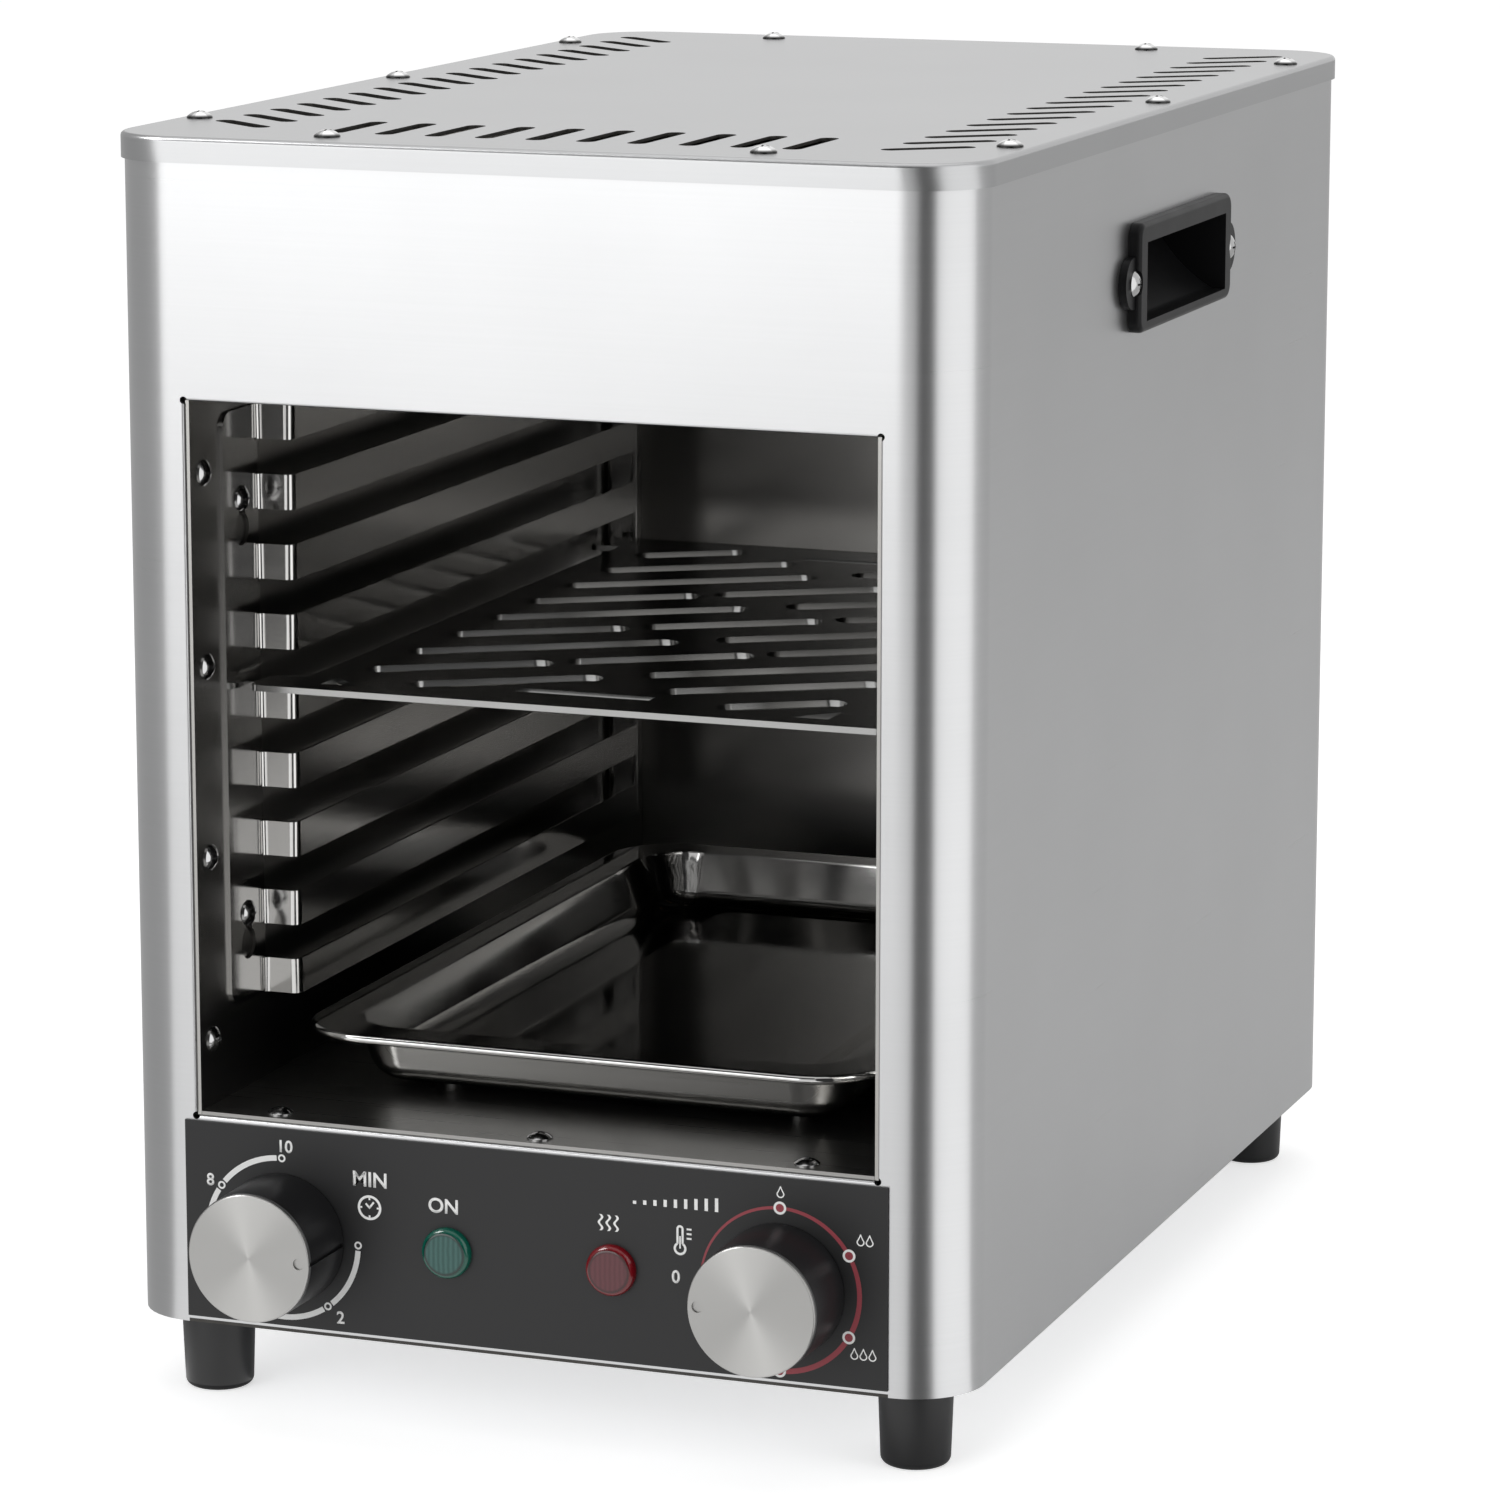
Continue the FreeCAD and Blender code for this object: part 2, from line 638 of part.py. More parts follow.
def rounded_path(points, radius):
    """Straight runs joined by tangent arcs, as one wire."""
    edges = []
    start = points[0]
    for before, corner, after in zip(points, points[1:], points[2:]):
        inward = (before - corner).normalize()
        outward = (after - corner).normalize()
        reach = radius / tan(inward.getAngle(outward) / 2)
        arc_start = corner + inward * reach
        arc_end = corner + outward * reach
        bisector = (inward + outward).normalize()
        centre_distance = (radius ** 2 + reach ** 2) ** 0.5
        arc_middle = corner + bisector * (centre_distance - radius)
        edges.append(Part.LineSegment(start, arc_start).toShape())
        edges.append(Part.Arc(arc_start, arc_middle, arc_end).toShape())
        start = arc_end
    edges.append(Part.LineSegment(start, points[-1]).toShape())
    return Part.Wire(edges)


def tube(points, tube_radius, bend_radius):
    """Round bar along a path of straight runs and arcs."""
    path = rounded_path(points, bend_radius)
    direction = points[1] - points[0]
    profile = Part.Wire(Part.makeCircle(tube_radius, points[0], direction))
    solid = path.makePipeShell([profile], True, True)
    expected = pi * tube_radius ** 2 * path.Length
    if abs(solid.Volume / expected - 1) > 0.01:
        raise ValueError(f"tube volume {solid.Volume:.0f}, section times length {expected:.0f}")
    return solid


# Heater and its sensor

def heating_element():
    """Eight straight passes under the ceiling, joined by half turns, with both ends at the back."""
    pitch = value("tube_pitch")
    passes = 8
    edges = []
    up = value("tube_up")
    for index in range(passes):
        across = (index - (passes - 1) / 2) * pitch
        front = cabinet_point(across, "tube_front", "tube_up")
        back_name = "tube_end" if index in (0, passes - 1) else "tube_back"
        back = cabinet_point(across, back_name, "tube_up")
        run = (front, back) if index % 2 else (back, front)
        edges.append(Part.LineSegment(*run).toShape())
        if index < passes - 1:
            end = run[1]
            bulge = pitch / 2 if index % 2 else -pitch / 2
            middle = end + Vector(pitch / 2, bulge, 0)
            edges.append(Part.Arc(end, middle, end + Vector(pitch, 0, 0)).toShape())
    path = Part.Wire(edges)
    start = cabinet_point((1 - passes) / 2 * pitch, "tube_end", up)
    profile = Part.Wire(Part.makeCircle(value("tube_radius"), start, Vector(0, -1, 0)))
    solid = path.makePipeShell([profile], True, True)
    expected = pi * value("tube_radius") ** 2 * path.Length
    if abs(solid.Volume / expected - 1) > 0.01:
        raise ValueError(f"heater volume {solid.Volume:.0f}, section times length {expected:.0f}")
    solid_piece("heating_element", [solid])


def element_hangers():
    """Two straps under the heater's passes, welded to the ceiling."""
    low = "tube_up - tube_radius - play - 1.5"
    for label, back in (("element_hanger_front", "124"), ("element_hanger_rear", "276")):
        body = new_body(label)
        outline = new_sketch(body, "XZ", back)
        draw_polygon(outline, [("-104", low), ("104", low), ("104", "ceiling_up"), ("102.5", "ceiling_up"),
                               ("102.5", f"{low} + 1.5"), ("-102.5", f"{low} + 1.5"),
                               ("-102.5", "ceiling_up"), ("-104", "ceiling_up")])
        pad(body, outline, "12")
        place(body)


def element_bushings():
    """Ceramic collars that carry the heater's ends through the rear wall."""
    for label, side in (("element_bushing_left", "-"), ("element_bushing_right", "")):
        body = new_body(label)
        profile = new_sketch(body, "XY")
        inner = "tube_radius + play"
        draw_polygon(profile, [(inner, "-3"), ("9", "-3"), ("9", "-play"), ("6.5", "-play"),
                               ("6.5", "chamber_sheet + 6"), (inner, "chamber_sheet + 6")])
        turn(body, profile)
        place(body, f"{side}3.5 * tube_pitch", "chamber_back", "tube_up")


def thermostat_sensor():
    """Sensing bulb across the back of the chamber and its capillary down to the thermostat."""
    bulb_back = 381
    bulb_start = cabinet_point(10, bulb_back, "capillary_up")
    bulb = Part.makeCylinder(3, 78, bulb_start, Vector(1, 0, 0))
    route = [cabinet_point(88, bulb_back, "capillary_up"),
             cabinet_point("capillary_across", bulb_back, "capillary_up"),
             cabinet_point("capillary_across", 399, "capillary_up"),
             cabinet_point("capillary_across", 399, 50),
             cabinet_point("capillary_across", 60, 50),
             cabinet_point("temperature_across", 60, 50),
             cabinet_point("temperature_across", 33, 50)]
    solid_piece("thermostat_sensor", [bulb.fuse(tube(route, 1.0, 8.0))])


def grill_plate():
    """Slotted plate that rides on a pair of bars by its four ears."""
    body = new_body("grill_plate")
    half = "plate_width / 2"
    inner = "plate_body_width / 2"
    far = "plate_length / 2"
    near_ear = "(plate_length / 2 - plate_ear)"
    outline = new_sketch(body, "XY")
    draw_polygon(outline, [(f"-{half}", f"-{far}"), (half, f"-{far}"), (half, f"-{near_ear}"),
                           (inner, f"-{near_ear}"), (inner, near_ear), (half, near_ear), (half, far),
                           (f"-{half}", far), (f"-{half}", near_ear), (f"-{inner}", near_ear),
                           (f"-{inner}", f"-{near_ear}"), (f"-{half}", f"-{near_ear}")])
    pad(body, outline, "plate_thickness")
    fillet(body, "3", lambda box: box.ZLength > 1
           and (near((abs(box.XMin), half)) or near((abs(box.XMax), half))))
    slots = new_sketch(body, "XY", "-1")
    span = "plate_slot_span"
    three = [(f"-{span}", "-35"), ("-21.5", "21.5"), ("35", span)]
    two = [(f"-{span}", "-10.3"), ("10.3", span)]
    rows = {0: three, 1: two, 2: three, 3: [(f"-{span}", "-10.3"), ("10.3", "54")],
            4: [(f"-{span}", "-26.5")], 5: [(f"-{span}", "-52")]}
    for row, segments in rows.items():
        for start, end in segments:
            for sign in ("", "-") if row else ("",):
                rise = f"{row} * plate_slot_pitch"
                ends = [(f"{sign}({across})", f"{sign}({rise} + plate_slot_slope * ({across}))")
                        for across in (start, end)]
                draw_slot(slots, *ends, "plate_slot_radius")
    pocket(body, slots, "plate_thickness + 2")
    ends = new_sketch(body, "XY", "-1")
    for sign in "-+":
        edge = f"{sign}(plate_length / 2 - 21.8)"
        draw_rectangle(ends, "-22.5", "22.5", f"{edge} - 2.8", f"{edge} + 2.8")
    pocket(body, ends, "plate_thickness + 2")
    corners = new_sketch(body, "XY", "-1")
    for across, back in (("-1", "-1"), ("1", "-1"), ("1", "1")):
        tip = (f"{across} * ({inner} - 9)", f"{back} * ({far} - 9)")
        draw_polygon(corners, [tip, (tip[0], f"{back} * ({far} - 22)"),
                               (f"{across} * ({inner} - 22)", tip[1])])
    pocket(body, corners, "plate_thickness + 2")
    place(body, "plate_across", "plate_front + plate_length / 2", "rack_high - 4 * bar_pitch")


def pan_block(body, inset, low, high, bend):
    """Block that narrows downwards, with round corners and round lower edges, inside the tray's rim."""
    outline = new_sketch(body, "XY", high)
    draw_rectangle(outline, f"{inset} - tray_width / 2", f"tray_width / 2 - {inset}",
                   f"{inset} - tray_length / 2", f"tray_length / 2 - {inset}",
                   f"tray_corner + tray_rim / 2 - {inset}")
    block = pad(body, outline, f"{high} - {low}")
    block.Reversed = True
    block.setExpression("TaperAngle", formula("-tray_draft"))
    fillet(body, bend, lambda box: near((box.ZMin, low), (box.ZMax, low)))


def drip_tray():
    """Pressed pan with sloping walls, round bottom edges, a raised middle and a rim with a rolled bead.
    Four low nubs under its corners carry it clear of the floor screws."""
    half = "tray_width / 2"
    far = "tray_length / 2"
    depth = "(tray_depth - tray_nub)"
    rim_low = f"({depth} - tray_sheet)"
    hollow = new_body("blank_hollow")
    pan_block(hollow, "(tray_rim + tray_sheet)", "tray_sheet", rim_low, "tray_bend - tray_sheet")
    body = new_body("drip_tray")
    pan_block(body, "tray_rim", "0", rim_low, "tray_bend")
    cut = body.newObject("PartDesign::Boolean", "Hollowed")
    cut.Type = "Cut"
    cut.Group = [hollow]
    inner = "(tray_rim + tray_sheet)"
    rim = new_sketch(body, "XY", rim_low)
    draw_rectangle(rim, f"tray_bead - {half}", f"{half} - tray_bead", f"tray_bead - {far}",
                   f"{far} - tray_bead", "tray_corner - tray_bead")
    draw_rectangle(rim, f"{inner} - {half}", f"{half} - {inner}", f"{inner} - {far}",
                   f"{far} - {inner}", f"tray_corner + tray_rim / 2 - {inner}")
    pad(body, rim, "tray_sheet")
    platform = new_sketch(body, "XY")
    run = "(tray_length / 2 - tray_rim - 2 * tray_bend)"
    draw_rectangle(platform, "-tray_platform_half", "tray_platform_half", f"-{run}", run, "8")
    pad(body, platform, "tray_platform_lift + tray_sheet")
    under = new_sketch(body, "XY", "-1")
    draw_rectangle(under, "tray_sheet - tray_platform_half", "tray_platform_half - tray_sheet",
                   f"tray_sheet - {run}", f"{run} - tray_sheet", "8 - tray_sheet")
    pocket(body, under, "tray_platform_lift + 1")
    nubs = new_sketch(body, "XY", "-tray_nub")
    for side in "-+":
        for end in "-+":
            draw_circle(nubs, f"{side}(tray_platform_half + 7)", f"{end}({run} - 14)", "tray_nub_radius")
    pad(body, nubs, "tray_nub + tray_sheet / 2")
    fillet(body, "1.5", lambda box: near((box.ZMin, "-tray_nub"), (box.ZMax, "-tray_nub")))
    bead_path = new_sketch(body, "XY", f"{depth} - tray_bead")
    draw_rectangle(bead_path, f"-{half} + tray_bead", f"{half} - tray_bead", f"-{far} + tray_bead",
                   f"{far} - tray_bead", "tray_corner - tray_bead")
    bead_section = new_sketch(body, "XZ", "0")
    draw_circle(bead_section, f"{half} - tray_bead", f"{depth} - tray_bead", "tray_bead")
    bead = body.newObject("PartDesign::AdditivePipe", "Bead")
    bead.Profile = bead_section
    bead.Spine = bead_path
    place(body, "tray_across", "tray_front + tray_length / 2", "floor_up + tray_nub")


# Controls

def knob(name, across, pointer):
    """Hollow black knob with a metal face, its shaft, and the switch body behind the panel."""
    front = "-(knob_proud - panel_thickness)"
    face = f"({front} + cap_thickness)"
    body = new_body(f"{name}_knob")
    profile = new_sketch(body, "XY")
    inside = f"({face} + knob_wall)"
    bore = "shaft_radius + 0.02"
    draw_polygon(profile, [(bore, inside), (bore, "-0.6"), ("hub_radius", "-0.6"),
                           ("hub_radius", inside), ("knob_radius - knob_wall", inside),
                           ("knob_radius - knob_wall", "-0.6"), ("knob_radius", "-0.6"),
                           ("knob_radius - 0.3", face), (ON_AXIS, face), (ON_AXIS, inside)])
    turn(body, profile)
    fillet(body, "0.8", lambda box: near((box.YMin, face), (box.YMax, face)) and box.XLength > 30)
    groove = new_sketch(body, "XZ", f"{face} - 1")
    draw_rectangle(groove, f"{pointer} * (knob_radius - 0.1) - 1", f"{pointer} * (knob_radius - 0.1) + 1",
                   "-0.7", "0.7")
    pocket(body, groove, "knob_proud")
    place(body, across, "-panel_thickness", "knob_up")

    cap = new_body(f"{name}_knob_cap")
    disc = new_sketch(cap, "XZ", front)
    draw_circle(disc, ON_AXIS, ON_AXIS, "cap_radius")
    pad(cap, disc, "cap_thickness")
    fillet(cap, "0.5", lambda box: near((box.YMin, front), (box.YMax, front)) and box.XLength > 30)
    dimple = new_sketch(cap, "XZ", f"{front} - 1")
    draw_circle(dimple, f"{pointer} * dimple_out", ON_AXIS, "dimple_radius")
    pocket(cap, dimple, "1.7")
    place(cap, across, "-panel_thickness", "knob_up")

    shaft = new_body(SHAFTS[name])
    bar = new_sketch(shaft, "XZ", f"{inside} + 0.05")
    draw_circle(bar, ON_AXIS, ON_AXIS, "shaft_radius")
    pad(shaft, bar, f"16 - {inside}")
    place(shaft, across, "-panel_thickness", "knob_up")


SHAFTS = {"timer": "timer_shaft", "temperature": "thermostat_shaft"}


def switch_body(label, across, half, depth):
    """Box behind the panel with a threaded neck, a bore for the shaft and four tags at the back."""
    body = new_body(label)
    box = new_sketch(body, "XZ", "sheet + 0.2")
    draw_rectangle(box, f"-{half}", half, f"-{half}", half, "3")
    pad(body, box, depth)
    neck = new_sketch(body, "XZ", "0.1")
    draw_circle(neck, ON_AXIS, ON_AXIS, "shaft_hole - 0.5")
    pad(body, neck, "sheet + 1")
    tags = new_sketch(body, "XZ", f"sheet + 0.1 + {depth}")
    for side in "-+":
        for up in "-+":
            draw_rectangle(tags, f"{side}9 - 3.1", f"{side}9 + 3.1", f"{up}10 - 0.4", f"{up}10 + 0.4")
    pad(body, tags, "8")
    bore = new_sketch(body, "XZ", "-1")
    draw_circle(bore, ON_AXIS, ON_AXIS, "shaft_radius + shaft_play")
    pocket(body, bore, "19")
    place(body, across, "0", "knob_up")


def lamp(name, across):
    """Round lens with a stem through the panel, and the socket clipped behind it."""
    lens = new_body(f"{name}_lamp_lens")
    flange = new_sketch(lens, "XZ", "-lamp_proud")
    draw_circle(flange, ON_AXIS, ON_AXIS, "lamp_radius")
    pad(lens, flange, "lamp_proud")
    fillet(lens, "2.2", lambda box: near((box.YMin, "-lamp_proud"), (box.YMax, "-lamp_proud")))
    stem = new_sketch(lens, "XZ", "-1")
    draw_circle(stem, ON_AXIS, ON_AXIS, "lamp_stem")
    pad(lens, stem, "9")
    place(lens, across, "-panel_thickness", "lamp_up")
    holder = new_body(f"{name}_lamp_holder")
    profile = new_sketch(holder, "XY")
    draw_polygon(profile, [("lamp_stem + play", "play"), ("lamp_stem + 3", "play"), ("lamp_stem + 3", "4"),
                           ("lamp_stem + 1.5", "4"), ("lamp_stem + 1.5", "20"), (ON_AXIS, "20"),
                           (ON_AXIS, "9"), ("lamp_stem + play", "9")])
    turn(holder, profile)
    place(holder, across, "sheet", "lamp_up")


# Handles, feet, cord inlet and inner pieces

def side_handles():
    """Black scooped grip let into the wrap's side, held by a screw in each ear."""
    body = new_body("side_handle_right")
    face = "handle_proud"
    base = new_sketch(body, "YZ", "play")
    ends = [(f"{side}handle_screw_half", "handle_screw_up") for side in "-+"]
    draw_slot(base, *ends, "8.4")
    pad(body, base, "handle_proud - handle_seat - play")
    bezel = new_sketch(body, "YZ", "play")
    draw_rectangle(bezel, "-handle_half - 7.5", "handle_half + 7.5", "handle_low - 3.6",
                   "handle_high + 6.4", "5")
    pad(body, bezel, f"{face} - play")
    fillet(body, "1.6", lambda box: near((box.XMin, face), (box.XMax, face)) and box.ZMax > 100)
    scoop = new_sketch(body, "XZ", "-handle_half - 2")
    draw_scoop(scoop, "-play", "2")
    pad(body, scoop, "2 * handle_half + 4")
    hollow = new_sketch(body, "XZ", "-handle_half")
    draw_scoop(hollow, f"-{face} - 1", "0")
    pocket(body, hollow, "2 * handle_half")
    holes = new_sketch(body, "YZ", "-1")
    seats = new_sketch(body, "YZ", "handle_proud - handle_seat")
    for end in ends:
        draw_circle(holes, *end, "screw_hole")
        draw_circle(seats, *end, "screw_head + 0.5")
    pocket(body, holes, "handle_proud + 2")
    pocket(body, seats, "handle_seat + 1")
    place(body, "body_width / 2", "handle_middle", "0")
    mirror_piece(body, "side_handle_left")


def draw_scoop(sketch, outside, wall):
    """Section of the grip: straight top and mouth, and a shallow arc from the mouth down to the back."""
    low = value(f"handle_low - {wall}")
    high = value(f"handle_high + {wall}")
    depth = value(f"handle_depth + {wall}")
    mouth = -value(outside)
    bottom = Vector(0, low, 0)
    bulge = Vector(-0.6 * depth, low + 0.42 * (high - low), 0)
    corner = Vector(-depth, high, 0)
    sketch.addGeometry(Part.LineSegment(Vector(mouth, low, 0), bottom))
    sketch.addGeometry(Part.Arc(bottom, bulge, corner))
    sketch.addGeometry(Part.LineSegment(corner, Vector(mouth, high, 0)))
    sketch.addGeometry(Part.LineSegment(Vector(mouth, high, 0), Vector(mouth, low, 0)))
    for index in range(4):
        arc_backwards = sketch.getPoint(1, 1).distanceToPoint(corner) < 0.01
        end = 1 if index == 1 and arc_backwards else 2
        following = (index + 1) % 4
        start = 2 if following == 1 and arc_backwards else 1
        sketch.addConstraint(Sketcher.Constraint("Coincident", index, end, following, start))
    bind_point(sketch, 2, 1, f"-(handle_depth + {wall})", f"handle_high + {wall}")
    bind_point(sketch, 2, 2, f"-({outside})", f"handle_high + {wall}")
    bind_point(sketch, 0, 1, f"-({outside})", f"handle_low - {wall}")
    bind_point(sketch, 0, 2, ON_AXIS, f"handle_low - {wall}")
    radius = sketch.Geometry[1].Radius
    sketch.addConstraint(Sketcher.Constraint("Radius", 1, radius))


def feet():
    """Rubber feet, each a turned block with a recess for its screw's head."""
    labels = ("foot_front_left", "foot_back_left", "foot_front_right", "foot_back_right")
    for label, (across, back) in zip(labels, FOOT_PLACES):
        body = new_body(label)
        profile = new_sketch(body, "XZ")
        draw_polygon(profile, [("screw_hole", "-0.02"), ("foot_radius", "-0.02"),
                               ("foot_radius - 1", "-foot_height"), ("6", "-foot_height"),
                               ("6", "-10"), ("screw_hole", "-10")])
        turn(body, profile)
        fillet(body, "2.5", lambda box: near((box.ZMin, "-foot_height"), (box.ZMax, "-foot_height"))
               and box.XLength > 20)
        place(body, across, back, "0")


def cord_gland():
    """Flanged bush in the back panel for the mains lead, and its nut inside."""
    body = new_body("cord_gland")
    profile = new_sketch(body, "XY")
    end = "(gland_reach - sheet)"
    draw_polygon(profile, [("gland_bore", "-11"), ("6", "-11"), ("6", ON_AXIS), ("9.5", ON_AXIS),
                           ("9.5", "2"), ("7", "3"), ("6.2", end), ("gland_bore", end)])
    turn(body, profile)
    place(body, "gland_across", "body_depth + sheet", "gland_up")
    nut = document.addObject("Part::Feature", "cord_gland_nut")
    nut.Label = "cord_gland_nut"
    centre = cabinet_point("gland_across", "body_depth - 0.1", "gland_up")
    corners = [Vector(9 * cos(k * pi / 3), 0, 9 * sin(k * pi / 3)) for k in range(7)]
    hexagon = Part.Wire(Part.makePolygon(corners))
    blank = Part.Face(hexagon).extrude(Vector(0, -4, 0))
    nut.Shape = blank.cut(Part.makeCylinder(6.05, 6, Vector(0, 1, 0), Vector(0, -1, 0)))
    nut.Placement.Base = centre


def inner_pieces():
    """Insulation round the chamber, the shield over the controls, terminals, cut-out and wires."""
    high = "300"
    box_piece("insulation_right", ("chamber_half + 2.4", "133"), ("20", "388"), ("75", high))
    box_piece("insulation_left", ("-133", "-chamber_half - 2.4"), ("20", "388"), ("75", high))
    box_piece("insulation_top", ("-110", "110"), ("20", "385"), ("ceiling_up + 1.4", "363"))
    box_piece("insulation_back", ("-102", "102"), ("chamber_back + 1.4", "411"), ("80", "296"))
    box_piece("heat_shield", ("-112", "112"), ("18", "392"), ("60", "61"))
    box_piece("terminal_block", ("-76", "-40"), ("380", "402"), ("base_thickness + play", "20"), "2")
    cutout = cabinet_point("-30", "chamber_back + chamber_sheet + 0.1", "309")
    solid_piece("thermal_cutout", [Part.makeCylinder(8, 10, cutout, Vector(0, 1, 0))])


def wiring():
    """Round insulated wires from the terminals to the switches and on to the heater's ends."""
    wire_radius = 1.4
    bend_radius = 5.0
    heater = value("3.5 * tube_pitch")
    routes = [
        [(-70, 379.9, 12), (-70, 330, 12), (-94, 300, 12), (-94, 60, 12), (-93.8, 41.2, 21.2)],
        [(-75.8, 41.2, 21.2), (-75.8, 62, 21.2), (74.3, 62, 21.2), (74.3, 37.2, 21.2)],
        [(92.3, 37.2, 21.2), (92.3, 70, 21.2), (98, 110, 21.2), (98, 418, 21.2), (heater, 418, 60),
         (heater, 418, 318), (heater, 405.1, 318)],
        [(-58, 402.1, 12), (-58, 418, 12), (-58, 418, 60), (-30, 418, 100), (-30, 418, 309),
         (-30, 400.4, 309)],
        [(-38.1, 396, 309), (-64, 396, 309), (-64, 414, 318), (-heater, 414, 318), (-heater, 405.1, 318)],
    ]
    wires = []
    for route in routes:
        points = [cabinet_point(*point) for point in route]
        wires.append(tube(points, wire_radius, bend_radius))
    solid_piece("wiring", wires)


# Fasteners

def screw(length, head_radius, head_height):
    """Dome-head screw with a cross recess: head above the origin, shank below it."""
    rim = 0.2 * head_height
    rise = head_height - rim
    dome_radius = (head_radius ** 2 + rise ** 2) / (2 * rise)
    half_angle = asin(head_radius / dome_radius) / 2
    middle = Vector(sin(half_angle), 0, cos(half_angle)) * dome_radius
    middle.z += head_height - dome_radius
    corners = [Vector(0, 0, 0), Vector(head_radius, 0, 0), Vector(head_radius, 0, rim),
               Vector(0, 0, head_height)]
    outline = [Part.LineSegment(corners[0], corners[1]), Part.LineSegment(corners[1], corners[2]),
               Part.Arc(corners[2], middle, corners[3]), Part.LineSegment(corners[3], corners[0])]
    profile = Part.Wire([edge.toShape() for edge in outline])
    head = Part.Face(profile).revolve(Vector(0, 0, 0), Vector(0, 0, 1), 360)
    for angle in (0, 90):
        cross = Part.makeBox(0.9 * head_radius, 0.7, head_height)
        cross.translate(Vector(-0.45 * head_radius, -0.35, 0.55 * head_height))
        cross.rotate(Vector(0, 0, 0), Vector(0, 0, 1), angle)
        head = head.cut(cross)
    shank = Part.makeCylinder(value("screw_shank"), length, Vector(0, 0, -length))
    return head.fuse(shank).removeSplitter()


AWAY = 1
TOWARDS = -1


def screw_group(label, places, outward, length, head_radius=None, head_height=None):
    """Like screws as one group of separate solids. Their heads face the given vector, or sideways,
    away from the middle (AWAY) or towards it (TOWARDS)."""
    shape = screw(length, head_radius or value("screw_head"), head_height or value("screw_head_height"))
    shapes = []
    for point in places:
        facing = outward
        if outward in (AWAY, TOWARDS):
            facing = Vector(outward if point.x > 0 else -outward, 0, 0)
        copy = shape.copy()
        copy.Placement = FreeCAD.Placement(point, FreeCAD.Rotation(Vector(0, 0, 1), facing))
        shapes.append(copy)
    solid_piece(label, shapes)


def fasteners():
    up = Vector(0, 0, 1)
    screw_group("top_cover_screws", [cabinet_point(across, back, "body_height + sheet")
                                     for across, back in COVER_SCREWS], up, 8)
    screw_group("back_panel_screws", [cabinet_point(across, "body_depth + sheet", height)
                                      for across, height in BACK_SCREWS], Vector(0, 1, 0), 8)
    walls = [cabinet_point(f"{side}chamber_half", WALL_SCREW_BACK, height)
             for side in "-+" for height in WALL_SCREWS_UP]
    screw_group("chamber_wall_screws", walls, TOWARDS, 6)
    floor = [cabinet_point(across, FLOOR_SCREW_BACK, "floor_up") for across in FLOOR_SCREWS_ACROSS]
    screw_group("chamber_floor_screws", floor, up, 5, head_height=value("floor_screw_high"))
    racks_places = [cabinet_point(f"{side}(chamber_half - rack_sheet)", back, height)
                    for side in "-+" for back, height in RACK_SCREWS]
    screw_group("rack_screws", racks_places, TOWARDS, 3)
    grips = [cabinet_point(f"{side}(body_width / 2 + handle_proud - handle_seat)",
                           f"handle_middle {end} handle_screw_half", "handle_screw_up")
             for side in "-+" for end in "-+"]
    screw_group("handle_screws", grips, AWAY, 8)
    under = [cabinet_point(across, back, "-10") for across, back in FOOT_PLACES]
    screw_group("foot_screws", under, Vector(0, 0, -1), 17)


outer_wrap()
top_cover()
back_panel()
base_plate()
control_panel()
chamber_walls()
chamber_floor()
chamber_back_wall()
chamber_ceiling()
racks()
heating_element()
element_hangers()
element_bushings()
thermostat_sensor()
grill_plate()
drip_tray()
knob("timer", "timer_across", "1")
knob("temperature", "temperature_across", "-1")
switch_body("timer_body", "timer_across", "23", "32")
switch_body("thermostat_body", "temperature_across", "20", "28")
lamp("power", "power_lamp_across")
lamp("heating", "heating_lamp_across")
side_handles()
feet()
cord_gland()
inner_pieces()
wiring()
fasteners()
document.recompute()


# Check every object, then write one file for each piece

PIECE_TYPES = ("PartDesign::Body", "Part::Mirroring", "Part::Feature")
for item in document.Objects:
    if {"Invalid", "Error"} & set(item.State):
        raise ValueError(f"{item.Label} failed: {item.State}")
    if item.TypeId == "PartDesign::Pocket" and item.Shape.Volume > item.BaseFeature.Shape.Volume - 0.1:
        raise ValueError(f"{item.Label} cuts nothing")

os.makedirs("parts", exist_ok=True)
pieces = [item for item in document.Objects if item.TypeId in PIECE_TYPES and "blank" not in item.Label]
for piece in pieces:
    if piece.Shape.isNull() or not piece.Shape.isValid():
        raise ValueError(f"{piece.Label} has no valid shape")
    piece.Shape.exportStep(f"parts/{piece.Label}.step")
whole = Part.makeCompound([piece.Shape for piece in pieces]).BoundBox
print(len(pieces), "pieces", whole)
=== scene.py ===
import json
from math import cos, pi, radians, sin

import bmesh
import bpy
from mathutils import Matrix, Vector

